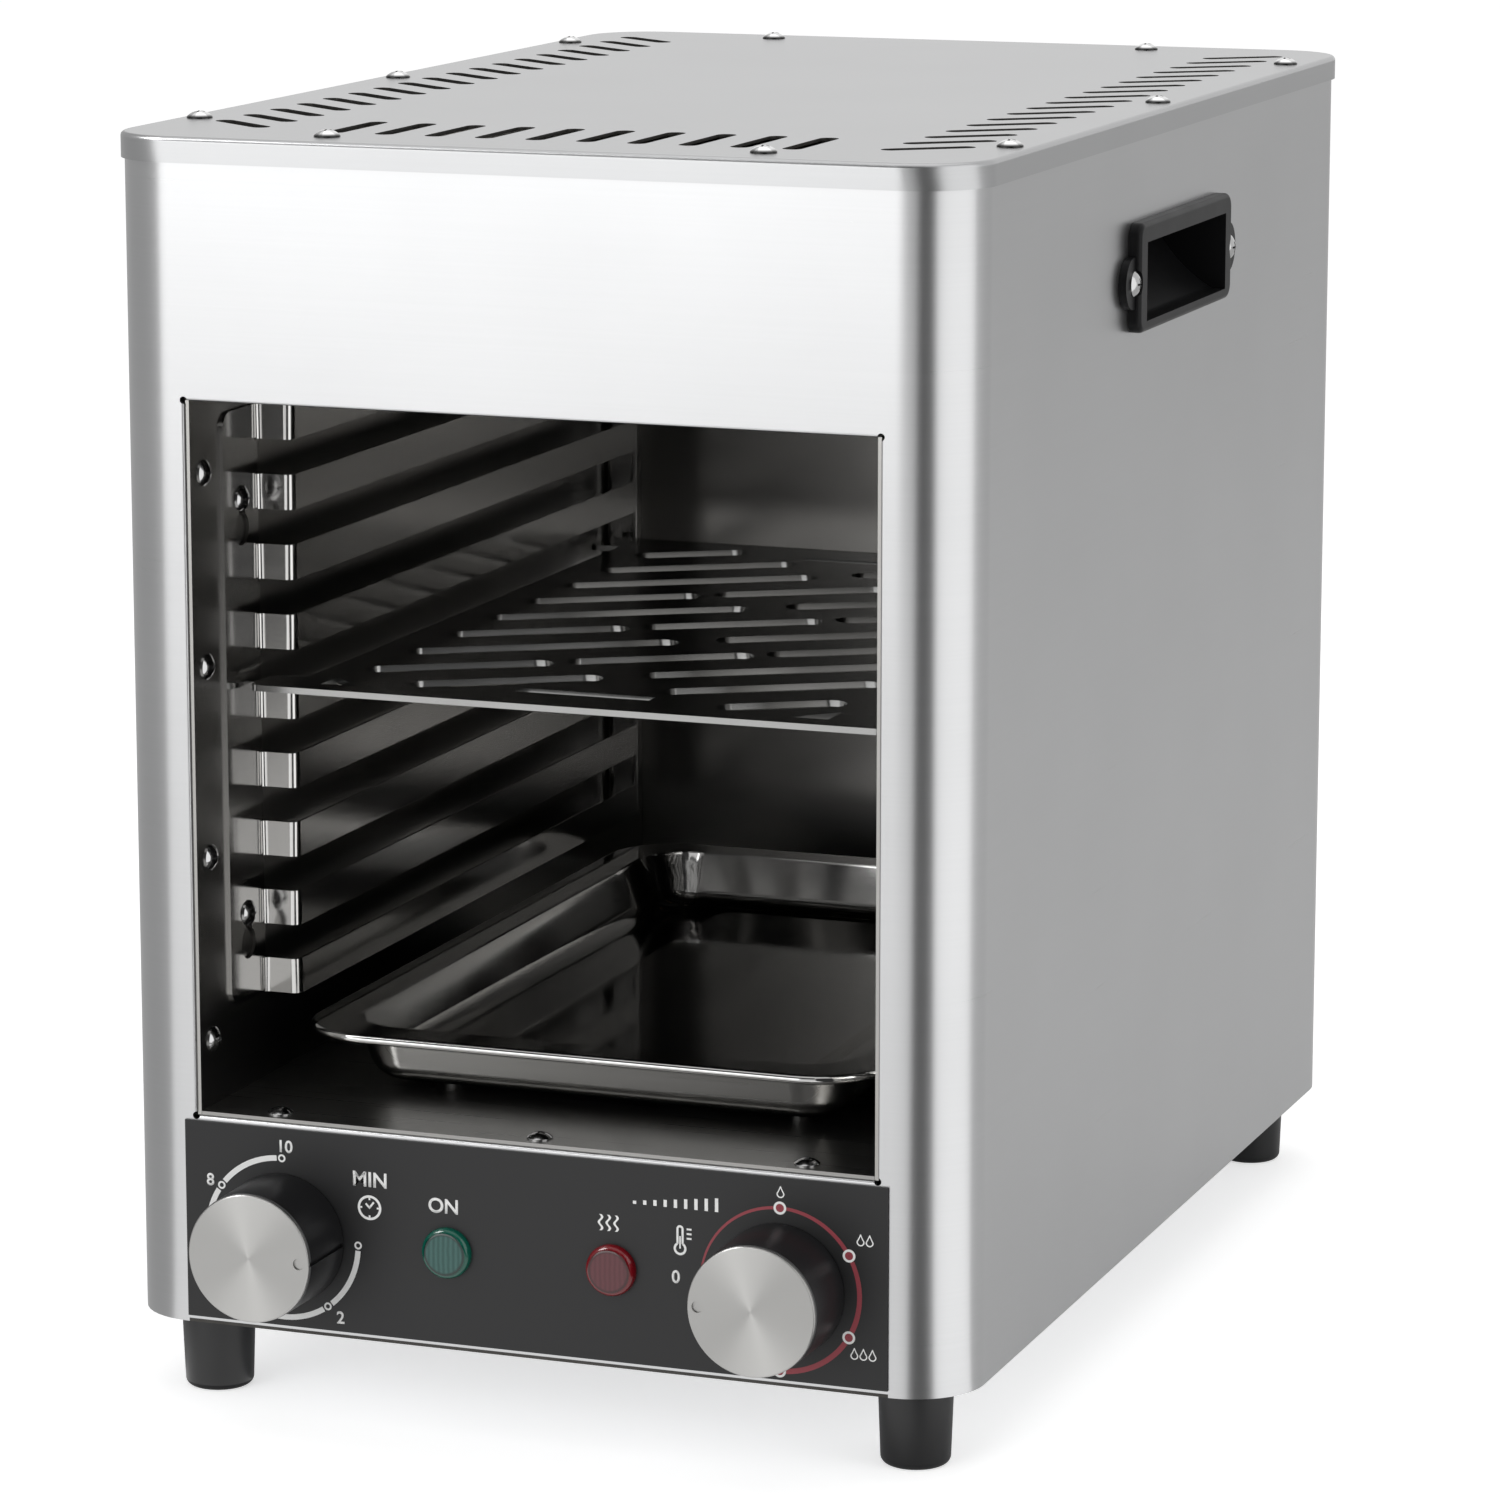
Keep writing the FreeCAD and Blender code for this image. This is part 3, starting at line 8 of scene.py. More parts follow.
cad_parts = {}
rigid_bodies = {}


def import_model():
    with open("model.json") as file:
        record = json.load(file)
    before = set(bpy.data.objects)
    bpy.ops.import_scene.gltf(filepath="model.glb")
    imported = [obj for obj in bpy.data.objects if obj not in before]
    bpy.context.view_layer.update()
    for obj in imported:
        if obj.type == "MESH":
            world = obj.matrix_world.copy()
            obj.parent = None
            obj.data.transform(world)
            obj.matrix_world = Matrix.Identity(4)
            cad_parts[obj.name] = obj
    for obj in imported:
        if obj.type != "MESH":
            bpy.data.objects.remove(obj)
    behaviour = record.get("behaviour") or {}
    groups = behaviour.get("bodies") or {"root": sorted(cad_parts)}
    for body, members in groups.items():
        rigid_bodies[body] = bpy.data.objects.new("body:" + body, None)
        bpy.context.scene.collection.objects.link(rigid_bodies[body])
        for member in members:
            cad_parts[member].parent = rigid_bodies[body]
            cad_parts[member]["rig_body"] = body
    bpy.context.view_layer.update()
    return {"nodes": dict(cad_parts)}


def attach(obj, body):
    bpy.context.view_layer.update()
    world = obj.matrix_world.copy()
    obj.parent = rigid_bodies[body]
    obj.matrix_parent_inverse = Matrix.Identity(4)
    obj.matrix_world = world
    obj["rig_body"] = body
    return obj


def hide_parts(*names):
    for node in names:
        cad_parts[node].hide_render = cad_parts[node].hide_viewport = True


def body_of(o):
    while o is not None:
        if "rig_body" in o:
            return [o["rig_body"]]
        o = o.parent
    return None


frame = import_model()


# Outer wrap. One sheet of satin stainless steel, folded round the cabinet with 23 mm corners,
# its front opening cut and flanged inwards. The long grain of the belt sander runs along the sheet.

MM = 0.001
FRONT_FACE = -208.0
CABINET_FOOT = 27.5


def spot(across, back, up):
    """A place on the cabinet: sideways, behind its front face and above its lower edge, in mm."""
    return Vector((across, FRONT_FACE + back, CABINET_FOOT + up)) * MM


def add_socket(group, name, kind, side, default=None):
    socket = group.interface.new_socket(name=name, in_out=side, socket_type=kind)
    if default is not None:
        socket.default_value = default


def make_steel_grain():
    """Brushed metal: long fine streaks and slow clouds in colour and gloss, with a trace of relief."""
    group = bpy.data.node_groups.new("steel grain", "ShaderNodeTree")
    add_socket(group, "Colour", "NodeSocketColor", "INPUT", (0.5, 0.5, 0.5, 1))
    add_socket(group, "Streak Pitch", "NodeSocketVector", "INPUT", (40, 900, 900))
    add_socket(group, "Streak Depth", "NodeSocketFloat", "INPUT", 0.1)
    add_socket(group, "Cloud Depth", "NodeSocketFloat", "INPUT", 0.05)
    add_socket(group, "Roughness", "NodeSocketFloat", "INPUT", 0.3)
    add_socket(group, "Roughness Spread", "NodeSocketFloat", "INPUT", 0.05)
    add_socket(group, "Relief", "NodeSocketFloat", "INPUT", 0.1)
    add_socket(group, "Colour", "NodeSocketColor", "OUTPUT")
    add_socket(group, "Roughness", "NodeSocketFloat", "OUTPUT")
    add_socket(group, "Normal", "NodeSocketVector", "OUTPUT")
    nodes, links = group.nodes, group.links
    given = nodes.new("NodeGroupInput")
    made = nodes.new("NodeGroupOutput")
    place = nodes.new("ShaderNodeTexCoord")
    stretch = nodes.new("ShaderNodeVectorMath")
    stretch.operation = "MULTIPLY"
    links.new(place.outputs["Object"], stretch.inputs[0])
    links.new(given.outputs["Streak Pitch"], stretch.inputs[1])
    streaks = nodes.new("ShaderNodeTexNoise")
    streaks.inputs["Scale"].default_value = 1.0
    streaks.inputs["Detail"].default_value = 3.0
    links.new(stretch.outputs[0], streaks.inputs["Vector"])
    clouds = nodes.new("ShaderNodeTexNoise")
    clouds.inputs["Scale"].default_value = 14.0
    clouds.inputs["Detail"].default_value = 2.0
    links.new(place.outputs["Object"], clouds.inputs["Vector"])
    factors = []
    for noise, depth in ((streaks, "Streak Depth"), (clouds, "Cloud Depth")):
        centred = nodes.new("ShaderNodeMath")
        centred.operation = "MULTIPLY_ADD"
        centred.inputs[1].default_value = 2.0
        centred.inputs[2].default_value = -1.0
        links.new(noise.outputs[0], centred.inputs[0])
        scaled = nodes.new("ShaderNodeMath")
        scaled.operation = "MULTIPLY_ADD"
        scaled.inputs[2].default_value = 1.0
        links.new(centred.outputs[0], scaled.inputs[0])
        links.new(given.outputs[depth], scaled.inputs[1])
        factors.append((centred, scaled))
    both = nodes.new("ShaderNodeMath")
    both.operation = "MULTIPLY"
    links.new(factors[0][1].outputs[0], both.inputs[0])
    links.new(factors[1][1].outputs[0], both.inputs[1])
    shade = nodes.new("ShaderNodeVectorMath")
    shade.operation = "SCALE"
    links.new(given.outputs["Colour"], shade.inputs[0])
    links.new(both.outputs[0], shade.inputs["Scale"])
    links.new(shade.outputs[0], made.inputs["Colour"])
    rough = nodes.new("ShaderNodeMath")
    rough.operation = "MULTIPLY_ADD"
    links.new(factors[0][0].outputs[0], rough.inputs[0])
    links.new(given.outputs["Roughness Spread"], rough.inputs[1])
    links.new(given.outputs["Roughness"], rough.inputs[2])
    links.new(rough.outputs[0], made.inputs["Roughness"])
    relief = nodes.new("ShaderNodeBump")
    relief.inputs["Distance"].default_value = 0.00002
    links.new(given.outputs["Relief"], relief.inputs["Strength"])
    links.new(streaks.outputs[0], relief.inputs["Height"])
    links.new(relief.outputs[0], made.inputs["Normal"])
    return group


steel_grain = make_steel_grain()


def new_finish(name):
    """An empty finish with its surface shader."""
    finish = bpy.data.materials.new(name)
    finish.use_nodes = True
    return finish, finish.node_tree, finish.node_tree.nodes["Principled BSDF"]


def brushed(name, colour, roughness, pitch, streak=0.08, cloud=0.04, spread=0.04, relief=0.1):
    """A bare metal with its grain. The pitch is the grain's fineness along X, Y and Z."""
    finish, tree, surface = new_finish(name)
    surface.inputs["Metallic"].default_value = 1.0
    grain = tree.nodes.new("ShaderNodeGroup")
    grain.node_tree = steel_grain
    grain.inputs["Colour"].default_value = (*colour, 1)
    grain.inputs["Streak Pitch"].default_value = pitch
    grain.inputs["Streak Depth"].default_value = streak
    grain.inputs["Cloud Depth"].default_value = cloud
    grain.inputs["Roughness"].default_value = roughness
    grain.inputs["Roughness Spread"].default_value = spread
    grain.inputs["Relief"].default_value = relief
    tree.links.new(grain.outputs["Colour"], surface.inputs["Base Color"])
    tree.links.new(grain.outputs["Roughness"], surface.inputs["Roughness"])
    tree.links.new(grain.outputs["Normal"], surface.inputs["Normal"])
    return finish


def show(name, form, finish, body):
    """Puts a finished form into the scene, riding on its body."""
    mesh = bpy.data.meshes.new(name)
    form.to_mesh(mesh)
    form.free()
    mesh.materials.append(finish)
    piece = bpy.data.objects.new(name, mesh)
    bpy.context.scene.collection.objects.link(piece)
    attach(piece, body)
    return piece


def dress(node, finish, crease=32.0):
    """A copy of a CAD piece with its seams merged and its curves smooth, shown in its place."""
    source = frame["nodes"][node]
    form = bmesh.new()
    form.from_mesh(source.data)
    for layers in (form.loops.layers.uv, form.loops.layers.float_vector):
        for name in layers.keys():
            layers.remove(layers[name])
    bmesh.ops.remove_doubles(form, verts=form.verts, dist=0.000001)
    bmesh.ops.dissolve_degenerate(form, dist=0.0000001, edges=form.edges)
    for face in form.faces:
        face.smooth = True
        face.material_index = 0
    for edge in form.edges:
        edge.smooth = edge.calc_face_angle(0.0) < radians(crease)
    piece = show(node + "_shown", form, finish, body_of(source)[0])
    if "custom_normal" in piece.data.attributes:
        piece.data.attributes.remove(piece.data.attributes["custom_normal"])
    even = piece.modifiers.new("even shading", "WEIGHTED_NORMAL")
    even.keep_sharp = True
    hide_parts(node)
    return piece


def coat(node, finish):
    """Gives a CAD piece that is shown as it is its finish."""
    source = frame["nodes"][node]
    source.data.materials.clear()
    source.data.materials.append(finish)


satin_steel = brushed("satin steel", (0.44, 0.442, 0.446), 0.28, (8.0, 8.0, 1500.0), streak=0.025,
                      cloud=0.04, spread=0.012, relief=0.004)
dress("outer_wrap", satin_steel)


# Base plate and feet. A zinc-plated plate closes the cabinet below, its front edge carrying painted
# shade for the dark line under the wrap. Four tapered rubber feet with a soft sheen are screwed up
# into it.

zinc_steel = brushed("zinc plate", (0.5, 0.51, 0.53), 0.45, (300.0, 300.0, 300.0), streak=0.1, cloud=0.12)
base_plate = dress("base_plate", zinc_steel)
# Painted shade: a dark finish laid on cut faces where slots, keyholes and the gap under the wrap fall into
# shade.
painted_shade_edge = brushed("painted shade edge", (0.05, 0.048, 0.045), 0.5, (300.0, 300.0, 300.0), streak=0.3,
                       cloud=0.1)


def paint_shade_on_cuts(piece, low, high, flat):
    """Gives the narrow faces of a cut sheet, found between two corners, painted shade: a dark finish for
    the shade in slots, keyholes and under edges. Flat is the axis through the sheet: 0 sideways, 2 upwards."""
    piece.data.materials.append(painted_shade_edge)
    for face in piece.data.polygons:
        inside = all(low[axis] < face.center[axis] < high[axis] for axis in range(3))
        if inside and abs(face.normal[flat]) < 0.5:
            face.material_index = 1


# Painted shade on the base plate's front edge, for the dark line under the wrap.
paint_shade_on_cuts(base_plate, spot(-119, -0.2, -0.2), spot(119, 0.4, 1.2), 2)


def make_moulded_skin():
    """Moulded plastic and rubber: a faint mottle in colour and gloss, and a very fine texture."""
    group = bpy.data.node_groups.new("moulded skin", "ShaderNodeTree")
    add_socket(group, "Colour", "NodeSocketColor", "INPUT", (0.02, 0.02, 0.02, 1))
    add_socket(group, "Mottle", "NodeSocketFloat", "INPUT", 0.1)
    add_socket(group, "Roughness", "NodeSocketFloat", "INPUT", 0.4)
    add_socket(group, "Roughness Spread", "NodeSocketFloat", "INPUT", 0.05)
    add_socket(group, "Fineness", "NodeSocketFloat", "INPUT", 2000.0)
    add_socket(group, "Relief", "NodeSocketFloat", "INPUT", 0.1)
    add_socket(group, "Colour", "NodeSocketColor", "OUTPUT")
    add_socket(group, "Roughness", "NodeSocketFloat", "OUTPUT")
    add_socket(group, "Normal", "NodeSocketVector", "OUTPUT")
    nodes, links = group.nodes, group.links
    given = nodes.new("NodeGroupInput")
    made = nodes.new("NodeGroupOutput")
    place = nodes.new("ShaderNodeTexCoord")
    patches = nodes.new("ShaderNodeTexNoise")
    patches.inputs["Scale"].default_value = 60.0
    patches.inputs["Detail"].default_value = 4.0
    links.new(place.outputs["Object"], patches.inputs["Vector"])
    centred = nodes.new("ShaderNodeMath")
    centred.operation = "MULTIPLY_ADD"
    centred.inputs[1].default_value = 2.0
    centred.inputs[2].default_value = -1.0
    links.new(patches.outputs[0], centred.inputs[0])
    factor = nodes.new("ShaderNodeMath")
    factor.operation = "MULTIPLY_ADD"
    factor.inputs[2].default_value = 1.0
    links.new(centred.outputs[0], factor.inputs[0])
    links.new(given.outputs["Mottle"], factor.inputs[1])
    shade = nodes.new("ShaderNodeVectorMath")
    shade.operation = "SCALE"
    links.new(given.outputs["Colour"], shade.inputs[0])
    links.new(factor.outputs[0], shade.inputs["Scale"])
    links.new(shade.outputs[0], made.inputs["Colour"])
    rough = nodes.new("ShaderNodeMath")
    rough.operation = "MULTIPLY_ADD"
    links.new(centred.outputs[0], rough.inputs[0])
    links.new(given.outputs["Roughness Spread"], rough.inputs[1])
    links.new(given.outputs["Roughness"], rough.inputs[2])
    links.new(rough.outputs[0], made.inputs["Roughness"])
    fine = nodes.new("ShaderNodeTexNoise")
    links.new(given.outputs["Fineness"], fine.inputs["Scale"])
    links.new(place.outputs["Object"], fine.inputs["Vector"])
    relief = nodes.new("ShaderNodeBump")
    relief.inputs["Distance"].default_value = 0.00004
    links.new(given.outputs["Relief"], relief.inputs["Strength"])
    links.new(fine.outputs[0], relief.inputs["Height"])
    links.new(relief.outputs[0], made.inputs["Normal"])
    return group


moulded_skin = make_moulded_skin()


def moulded(name, colour, roughness, mottle=0.08, spread=0.05, fineness=2000.0, relief=0.1, shine=0.5):
    """A plastic, rubber, enamel or ceramic with its moulded skin."""
    finish, tree, surface = new_finish(name)
    skin = tree.nodes.new("ShaderNodeGroup")
    skin.node_tree = moulded_skin
    skin.inputs["Colour"].default_value = (*colour, 1)
    skin.inputs["Mottle"].default_value = mottle
    skin.inputs["Roughness"].default_value = roughness
    skin.inputs["Roughness Spread"].default_value = spread
    skin.inputs["Fineness"].default_value = fineness
    skin.inputs["Relief"].default_value = relief
    surface.inputs["Specular IOR Level"].default_value = shine
    tree.links.new(skin.outputs["Colour"], surface.inputs["Base Color"])
    tree.links.new(skin.outputs["Roughness"], surface.inputs["Roughness"])
    tree.links.new(skin.outputs["Normal"], surface.inputs["Normal"])
    return finish


foot_rubber = moulded("foot rubber", (0.007, 0.007, 0.0075), 0.42, shine=0.4)
for place in ("front_left", "front_right", "back_left", "back_right"):
    dress("foot_" + place, foot_rubber)
screw_steel = brushed("screw steel", (0.42, 0.42, 0.42), 0.13, (500.0, 500.0, 500.0), streak=0.03, cloud=0.03)
coat("foot_screws", screw_steel)


# Chamber. Two side walls, a floor, a back wall and a ceiling of rolled stainless steel, screwed and
# welded into a box behind the front opening. The walls still shine a little; the floor is duller.

wall_steel = brushed("chamber wall steel", (0.32, 0.314, 0.302), 0.24, (10.0, 10.0, 1200.0), streak=0.02,
                     cloud=0.16, spread=0.02, relief=0.005)
for wall in ("chamber_left_wall", "chamber_right_wall", "chamber_back_wall", "chamber_ceiling"):
    dress(wall, wall_steel)
floor_steel = brushed("chamber floor steel", (0.26, 0.256, 0.248), 0.28, (10.0, 900.0, 10.0), streak=0.03,
                      cloud=0.14, spread=0.02, relief=0.005)
dress("chamber_floor", floor_steel)
dress("chamber_wall_screws", screw_steel)
dress("chamber_floor_screws", screw_steel)


# Racks. One bent sheet on each side, with windows that leave nine bars to slide the plate on.
# Each hangs on four screws in keyholes, whose cut faces carry painted shade.

rack_steel = brushed("rack steel", (0.50, 0.495, 0.485), 0.13, (25.0, 25.0, 1400.0), streak=0.04,
                     cloud=0.06, spread=0.03, relief=0.02)
for side, wall in (("left", -113.0), ("right", 113.0)):
    rack = dress("rack_" + side, rack_steel)
    for back in (36.5, 365.0):
        for up in (127.0, 262.0):
            # Painted shade on the cut faces round each keyhole, where the slot looks dark.
            paint_shade_on_cuts(rack, spot(wall - 1.5, back - 6, up - 17), spot(wall + 1.5, back + 6, up + 4), 0)
dress("rack_screws", screw_steel)


# Heater. A bent sheathed tube under the ceiling on two welded straps, its ends in ceramic collars,
# with the sensing tube of the thermostat beside it. The sheath is darkened by heat.

heater_sheath = brushed("heater sheath", (0.17, 0.16, 0.15), 0.45, (200.0, 200.0, 200.0), streak=0.2,
                        cloud=0.2)
dress("heating_element", heater_sheath)
dress("element_hanger_front", wall_steel)
dress("element_hanger_rear", wall_steel)
ceramic = moulded("glazed ceramic", (0.75, 0.73, 0.68), 0.3, mottle=0.04)
dress("element_bushing_left", ceramic)
dress("element_bushing_right", ceramic)
copper = brushed("drawn copper", (0.6, 0.35, 0.2), 0.3, (300.0, 300.0, 300.0))
dress("thermostat_sensor", copper)


# Insulation, shield and wiring. Wool mats round the chamber, a plate over the switches, a terminal
# block, a cut-out and sleeved wires. All of it is closed in when the covers are on.

wool = moulded("mineral wool", (0.72, 0.70, 0.63), 0.9, mottle=0.25, fineness=900.0, relief=0.6)
for side in ("left", "right", "top", "back"):
    coat("insulation_" + side, wool)
coat("heat_shield", zinc_steel)
switch_plastic = moulded("switch plastic", (0.5, 0.48, 0.42), 0.45)
for node in ("timer_body", "thermostat_body", "power_lamp_holder", "heating_lamp_holder", "thermal_cutout",
             "terminal_block"):
    coat(node, switch_plastic)
wire_sleeve = moulded("wire sleeve", (0.5, 0.08, 0.06), 0.5)
coat("wiring", wire_sleeve)


# Control panel. A thin sheet with a black printed face on the cabinet's lower front. Its marks are
# screen-printed ink: a timer scale, a red heat scale, small signs and plain numbers.

panel_black = moulded("panel black", (0.010, 0.010, 0.0106), 0.46, mottle=0.08, relief=0.05, shine=0.32)
dress("control_panel", panel_black)
PANEL_FACE = -0.8
INK_THICKNESS = 0.03
TIMER = Vector((-84.8, 31.2))
HEAT = Vector((83.3, 31.2))
SCALE_RADIUS = 26.1


def polar(middle, radius, angle):
    """A place on the panel at an angle in degrees, anticlockwise from the right."""
    return middle + Vector((cos(radians(angle)), sin(radians(angle)))) * radius


def ink_strip(ink, steps, place):
    """A printed line. Its places come from how far along it they are, and from which side, -1 or 1."""
    strip = bmesh.ops.create_grid(ink, x_segments=steps, y_segments=1, size=1.0)
    for corner in strip["verts"]:
        corner.co = place((corner.co.x + 1) / 2, corner.co.y).to_3d()


def ink_line(ink, start, end, width):
    run = Vector(end) - Vector(start)
    across = run.orthogonal().normalized() * width / 2
    ink_strip(ink, 1, lambda along, side: Vector(start) + run * along + across * side)


def ink_arc(ink, middle, radius, start, end, width, end_width=None):
    """A line round a middle from one angle to another, which may swell on its way."""
    swell = 0.0 if end_width is None else end_width - width
    ink_strip(ink, max(8, round(abs(end - start) / 4)), lambda along, side: polar(
        middle, radius + side * (width + swell * along) / 2, start + along * (end - start)))


def ink_words(ink, words, middle, height):
    """Plain upright numbers or letters, centred on a place."""
    curve = bpy.data.curves.new("words", "FONT")
    curve.body = words
    curve.offset = 0.02
    letters = bpy.data.objects.new("words", curve)
    shape = bpy.data.meshes.new_from_object(letters)
    low, high = (Vector(pick(corner.co[axis] for corner in shape.vertices) for axis in range(3))
                 for pick in (min, max))
    shape.transform(Matrix.Translation(Vector(middle).to_3d())
                    @ Matrix.Scale(height / (high.y - low.y), 4)
                    @ Matrix.Translation(-(low + high) / 2))
    ink.from_mesh(shape)
    bpy.data.objects.remove(letters)


def ink_flame(ink, middle):
    """A small drop-shaped flame drawn as an outline."""
    def outline(along, side):
        angle = 2 * pi * along
        rise = max(0.0, sin(angle))
        radius = 1.1 + 0.2 * side
        return Vector(middle) + Vector((radius * cos(angle) * (1 - 0.45 * rise ** 1.5),
                                        radius * sin(angle) * (1 + 0.95 * rise ** 3) - 0.5))
    ink_strip(ink, 28, outline)


def show_ink(name, ink, finish):
    """Gives flat marks the ink's thickness and lays them on the panel's face."""
    bmesh.ops.remove_doubles(ink, verts=ink.verts, dist=0.001)
    raised = bmesh.ops.extrude_face_region(ink, geom=ink.faces[:])["geom"]
    tops = [part for part in raised if isinstance(part, bmesh.types.BMVert)]
    bmesh.ops.translate(ink, verts=tops, vec=(0, 0, INK_THICKNESS))
    bmesh.ops.recalc_face_normals(ink, faces=ink.faces)
    onto_panel = (Matrix.Translation(spot(0, PANEL_FACE, 0)) @ Matrix.Scale(MM, 4)
                  @ Matrix.Rotation(pi / 2, 4, "X"))
    bmesh.ops.transform(ink, matrix=onto_panel, verts=ink.verts)
    return show(name, ink, finish, "cabinet")


white = bmesh.new()
TIMER_MARKS = (0, -54, -108, -162, -216, -270)
for mark, following in zip(TIMER_MARKS, TIMER_MARKS[1:]):
    ink_arc(white, TIMER, SCALE_RADIUS, mark - 3.9, following + 3.9, 1.8)
for mark in TIMER_MARKS:
    ink_arc(white, polar(TIMER, SCALE_RADIUS, mark), 1.0, 0, 360, 0.6)
for number, angle, radius in (("2", -51, 31.3), ("4", -124, 30.3), ("6", -162, 30.3), ("8", 146, 30.2),
                              ("10", 87, 30.1)):
    ink_words(white, number, polar(TIMER, radius, angle), 4.1)
ink_words(white, "MIN", (-54.4, 53.2), 4.9)
CLOCK = Vector((-54.6, 44.0))
ink_arc(white, CLOCK, 3.65, 0, 360, 0.8)
ink_line(white, CLOCK, CLOCK + Vector((1.5, 1.9)), 0.65)
ink_line(white, CLOCK + Vector((0.2, -0.25)), CLOCK + Vector((-1.3, 1.3)), 0.65)
for quarter in (0, 90, 180, 270):
    ink_line(white, polar(CLOCK, 2.5, quarter), polar(CLOCK, 3.2, quarter), 0.6)
ink_words(white, "ON", (-29.3, 47.0), 4.9)
for across in (-2.6, 0.0, 2.6):
    ink_strip(white, 24, lambda along, side: Vector((
        26.5 + across + 0.55 * sin(3 * pi * along) + side * 0.4, 44.4 + 5.2 * along)))
for step in range(9):
    ink_line(white, (35.3 + 3.4 * step, 54.0), (35.3 + 3.4 * step, 55.0 + 0.42 * step), 1.1)
BULB = Vector((50.4, 41.1))
ink_arc(white, BULB, 1.75, 120, 420, 0.75)
ink_arc(white, BULB + Vector((0, 6.3)), 0.85, 0, 180, 0.7)
for side in (-0.85, 0.85):
    ink_line(white, BULB + Vector((side, 1.5)), BULB + Vector((side, 6.3)), 0.7)
ink_line(white, BULB, BULB + Vector((0, 4.0)), 0.5)
for up in (3.4, 4.9, 6.4):
    ink_line(white, BULB + Vector((2.2, up)), BULB + Vector((3.8, up)), 0.6)
ink_words(white, "0", (49.0, 31.9), 4.2)
HEAT_MARKS = (90, 30, -30, -90)
for mark in HEAT_MARKS:
    ink_arc(white, polar(HEAT, SCALE_RADIUS, mark), 1.7, 0, 360, 0.75)
for flames, middle in ((1, (83.5, 62.3)), (2, (111.1, 49.5)), (3, (110.7, 13.1))):
    for flame in range(flames):
        ink_flame(white, (middle[0] + 2.95 * (flame - (flames - 1) / 2), middle[1]))
ink_white = moulded("white ink", (0.86, 0.86, 0.85), 0.5, mottle=0.05, relief=0.05)
show_ink("panel_marks_white", white, ink_white)

red = bmesh.new()
for start, end, width, end_width in ((180, 94.6, 0.6, 1.0), (85.4, 34.6, 1.05, 1.35), (25.4, -25.4, 1.4, 1.7),
                                     (-34.6, -85.4, 1.7, 1.7)):
    ink_arc(red, HEAT, SCALE_RADIUS, start, end, width, end_width)
for mark in HEAT_MARKS:
    ink_arc(red, polar(HEAT, SCALE_RADIUS, mark), 0.7, 0, 360, 1.2)
ink_red = moulded("red ink", (0.27, 0.028, 0.042), 0.5, mottle=0.1, relief=0.05)
show_ink("panel_marks_red", red, ink_red)


# Lamps. Two snap-in pilot lamps with clear tinted lenses, green for power and red for heating. The
# front of a lens is finely ribbed, with a ring of painted shade round it and painted light on its rim.

LAMP_UP = 32.0


def tinted(name, across, front, rib, shade, rim):
    """A clear lens's finish: its ribbed front, a ring of painted shade round it, and painted light in a
    deeper tint on the rim outside.
    """
    finish, tree, surface = new_finish(name)
    place = tree.nodes.new("ShaderNodeTexCoord")
    ribs = tree.nodes.new("ShaderNodeTexWave")
    ribs.bands_direction = "X"
    ribs.inputs["Scale"].default_value = 190.0
    ribs.inputs["Distortion"].default_value = 1.5
    tree.links.new(place.outputs["Object"], ribs.inputs["Vector"])
    ribbed = tree.nodes.new("ShaderNodeMix")
    ribbed.data_type = "RGBA"
    ribbed.inputs["A"].default_value = (*front, 1)
    ribbed.inputs["B"].default_value = (*rib, 1)
    tree.links.new(ribs.outputs["Fac"], ribbed.inputs["Factor"])
    flat = tree.nodes.new("ShaderNodeVectorMath")
    flat.operation = "MULTIPLY"
    flat.inputs[1].default_value = (1, 0, 1)
    tree.links.new(place.outputs["Object"], flat.inputs[0])
    reach = tree.nodes.new("ShaderNodeVectorMath")
    reach.operation = "DISTANCE"
    middle = spot(across, 0, LAMP_UP)
    reach.inputs[1].default_value = (middle.x, 0, middle.z)
    tree.links.new(flat.outputs[0], reach.inputs[0])
    colour = ribbed.outputs["Result"]
    for radius, tint in ((0.0061, shade), (0.0070, rim)):
        step = tree.nodes.new("ShaderNodeMapRange")
        step.inputs["From Min"].default_value = radius - 0.0003
        step.inputs["From Max"].default_value = radius + 0.0003
        tree.links.new(reach.outputs["Value"], step.inputs["Value"])
        layer = tree.nodes.new("ShaderNodeMix")
        layer.data_type = "RGBA"
        layer.inputs["B"].default_value = (*tint, 1)
        tree.links.new(step.outputs[0], layer.inputs["Factor"])
        tree.links.new(colour, layer.inputs["A"])
        colour = layer.outputs["Result"]
    tree.links.new(colour, surface.inputs["Base Color"])
    surface.inputs["Roughness"].default_value = 0.14
    return finish


# The last two colours of each lens are painted shade for the ring and painted light for the rim.
green_lens = tinted("green lens", -28.0, (0.006, 0.065, 0.055), (0.030, 0.115, 0.10), (0.0, 0.020, 0.015),
                    (0.0, 0.095, 0.062))
red_lens = tinted("red lens", 27.6, (0.085, 0.012, 0.018), (0.115, 0.020, 0.027), (0.04, 0.001, 0.002),
                  (0.19, 0.002, 0.007))
dress("power_lamp_lens", green_lens)
dress("heating_lamp_lens", red_lens)


# Knobs. Hollow black mouldings, each on a steel shaft, with a spun aluminium disc let into its face.
# The disc has a drilled pointer mark near its rim.

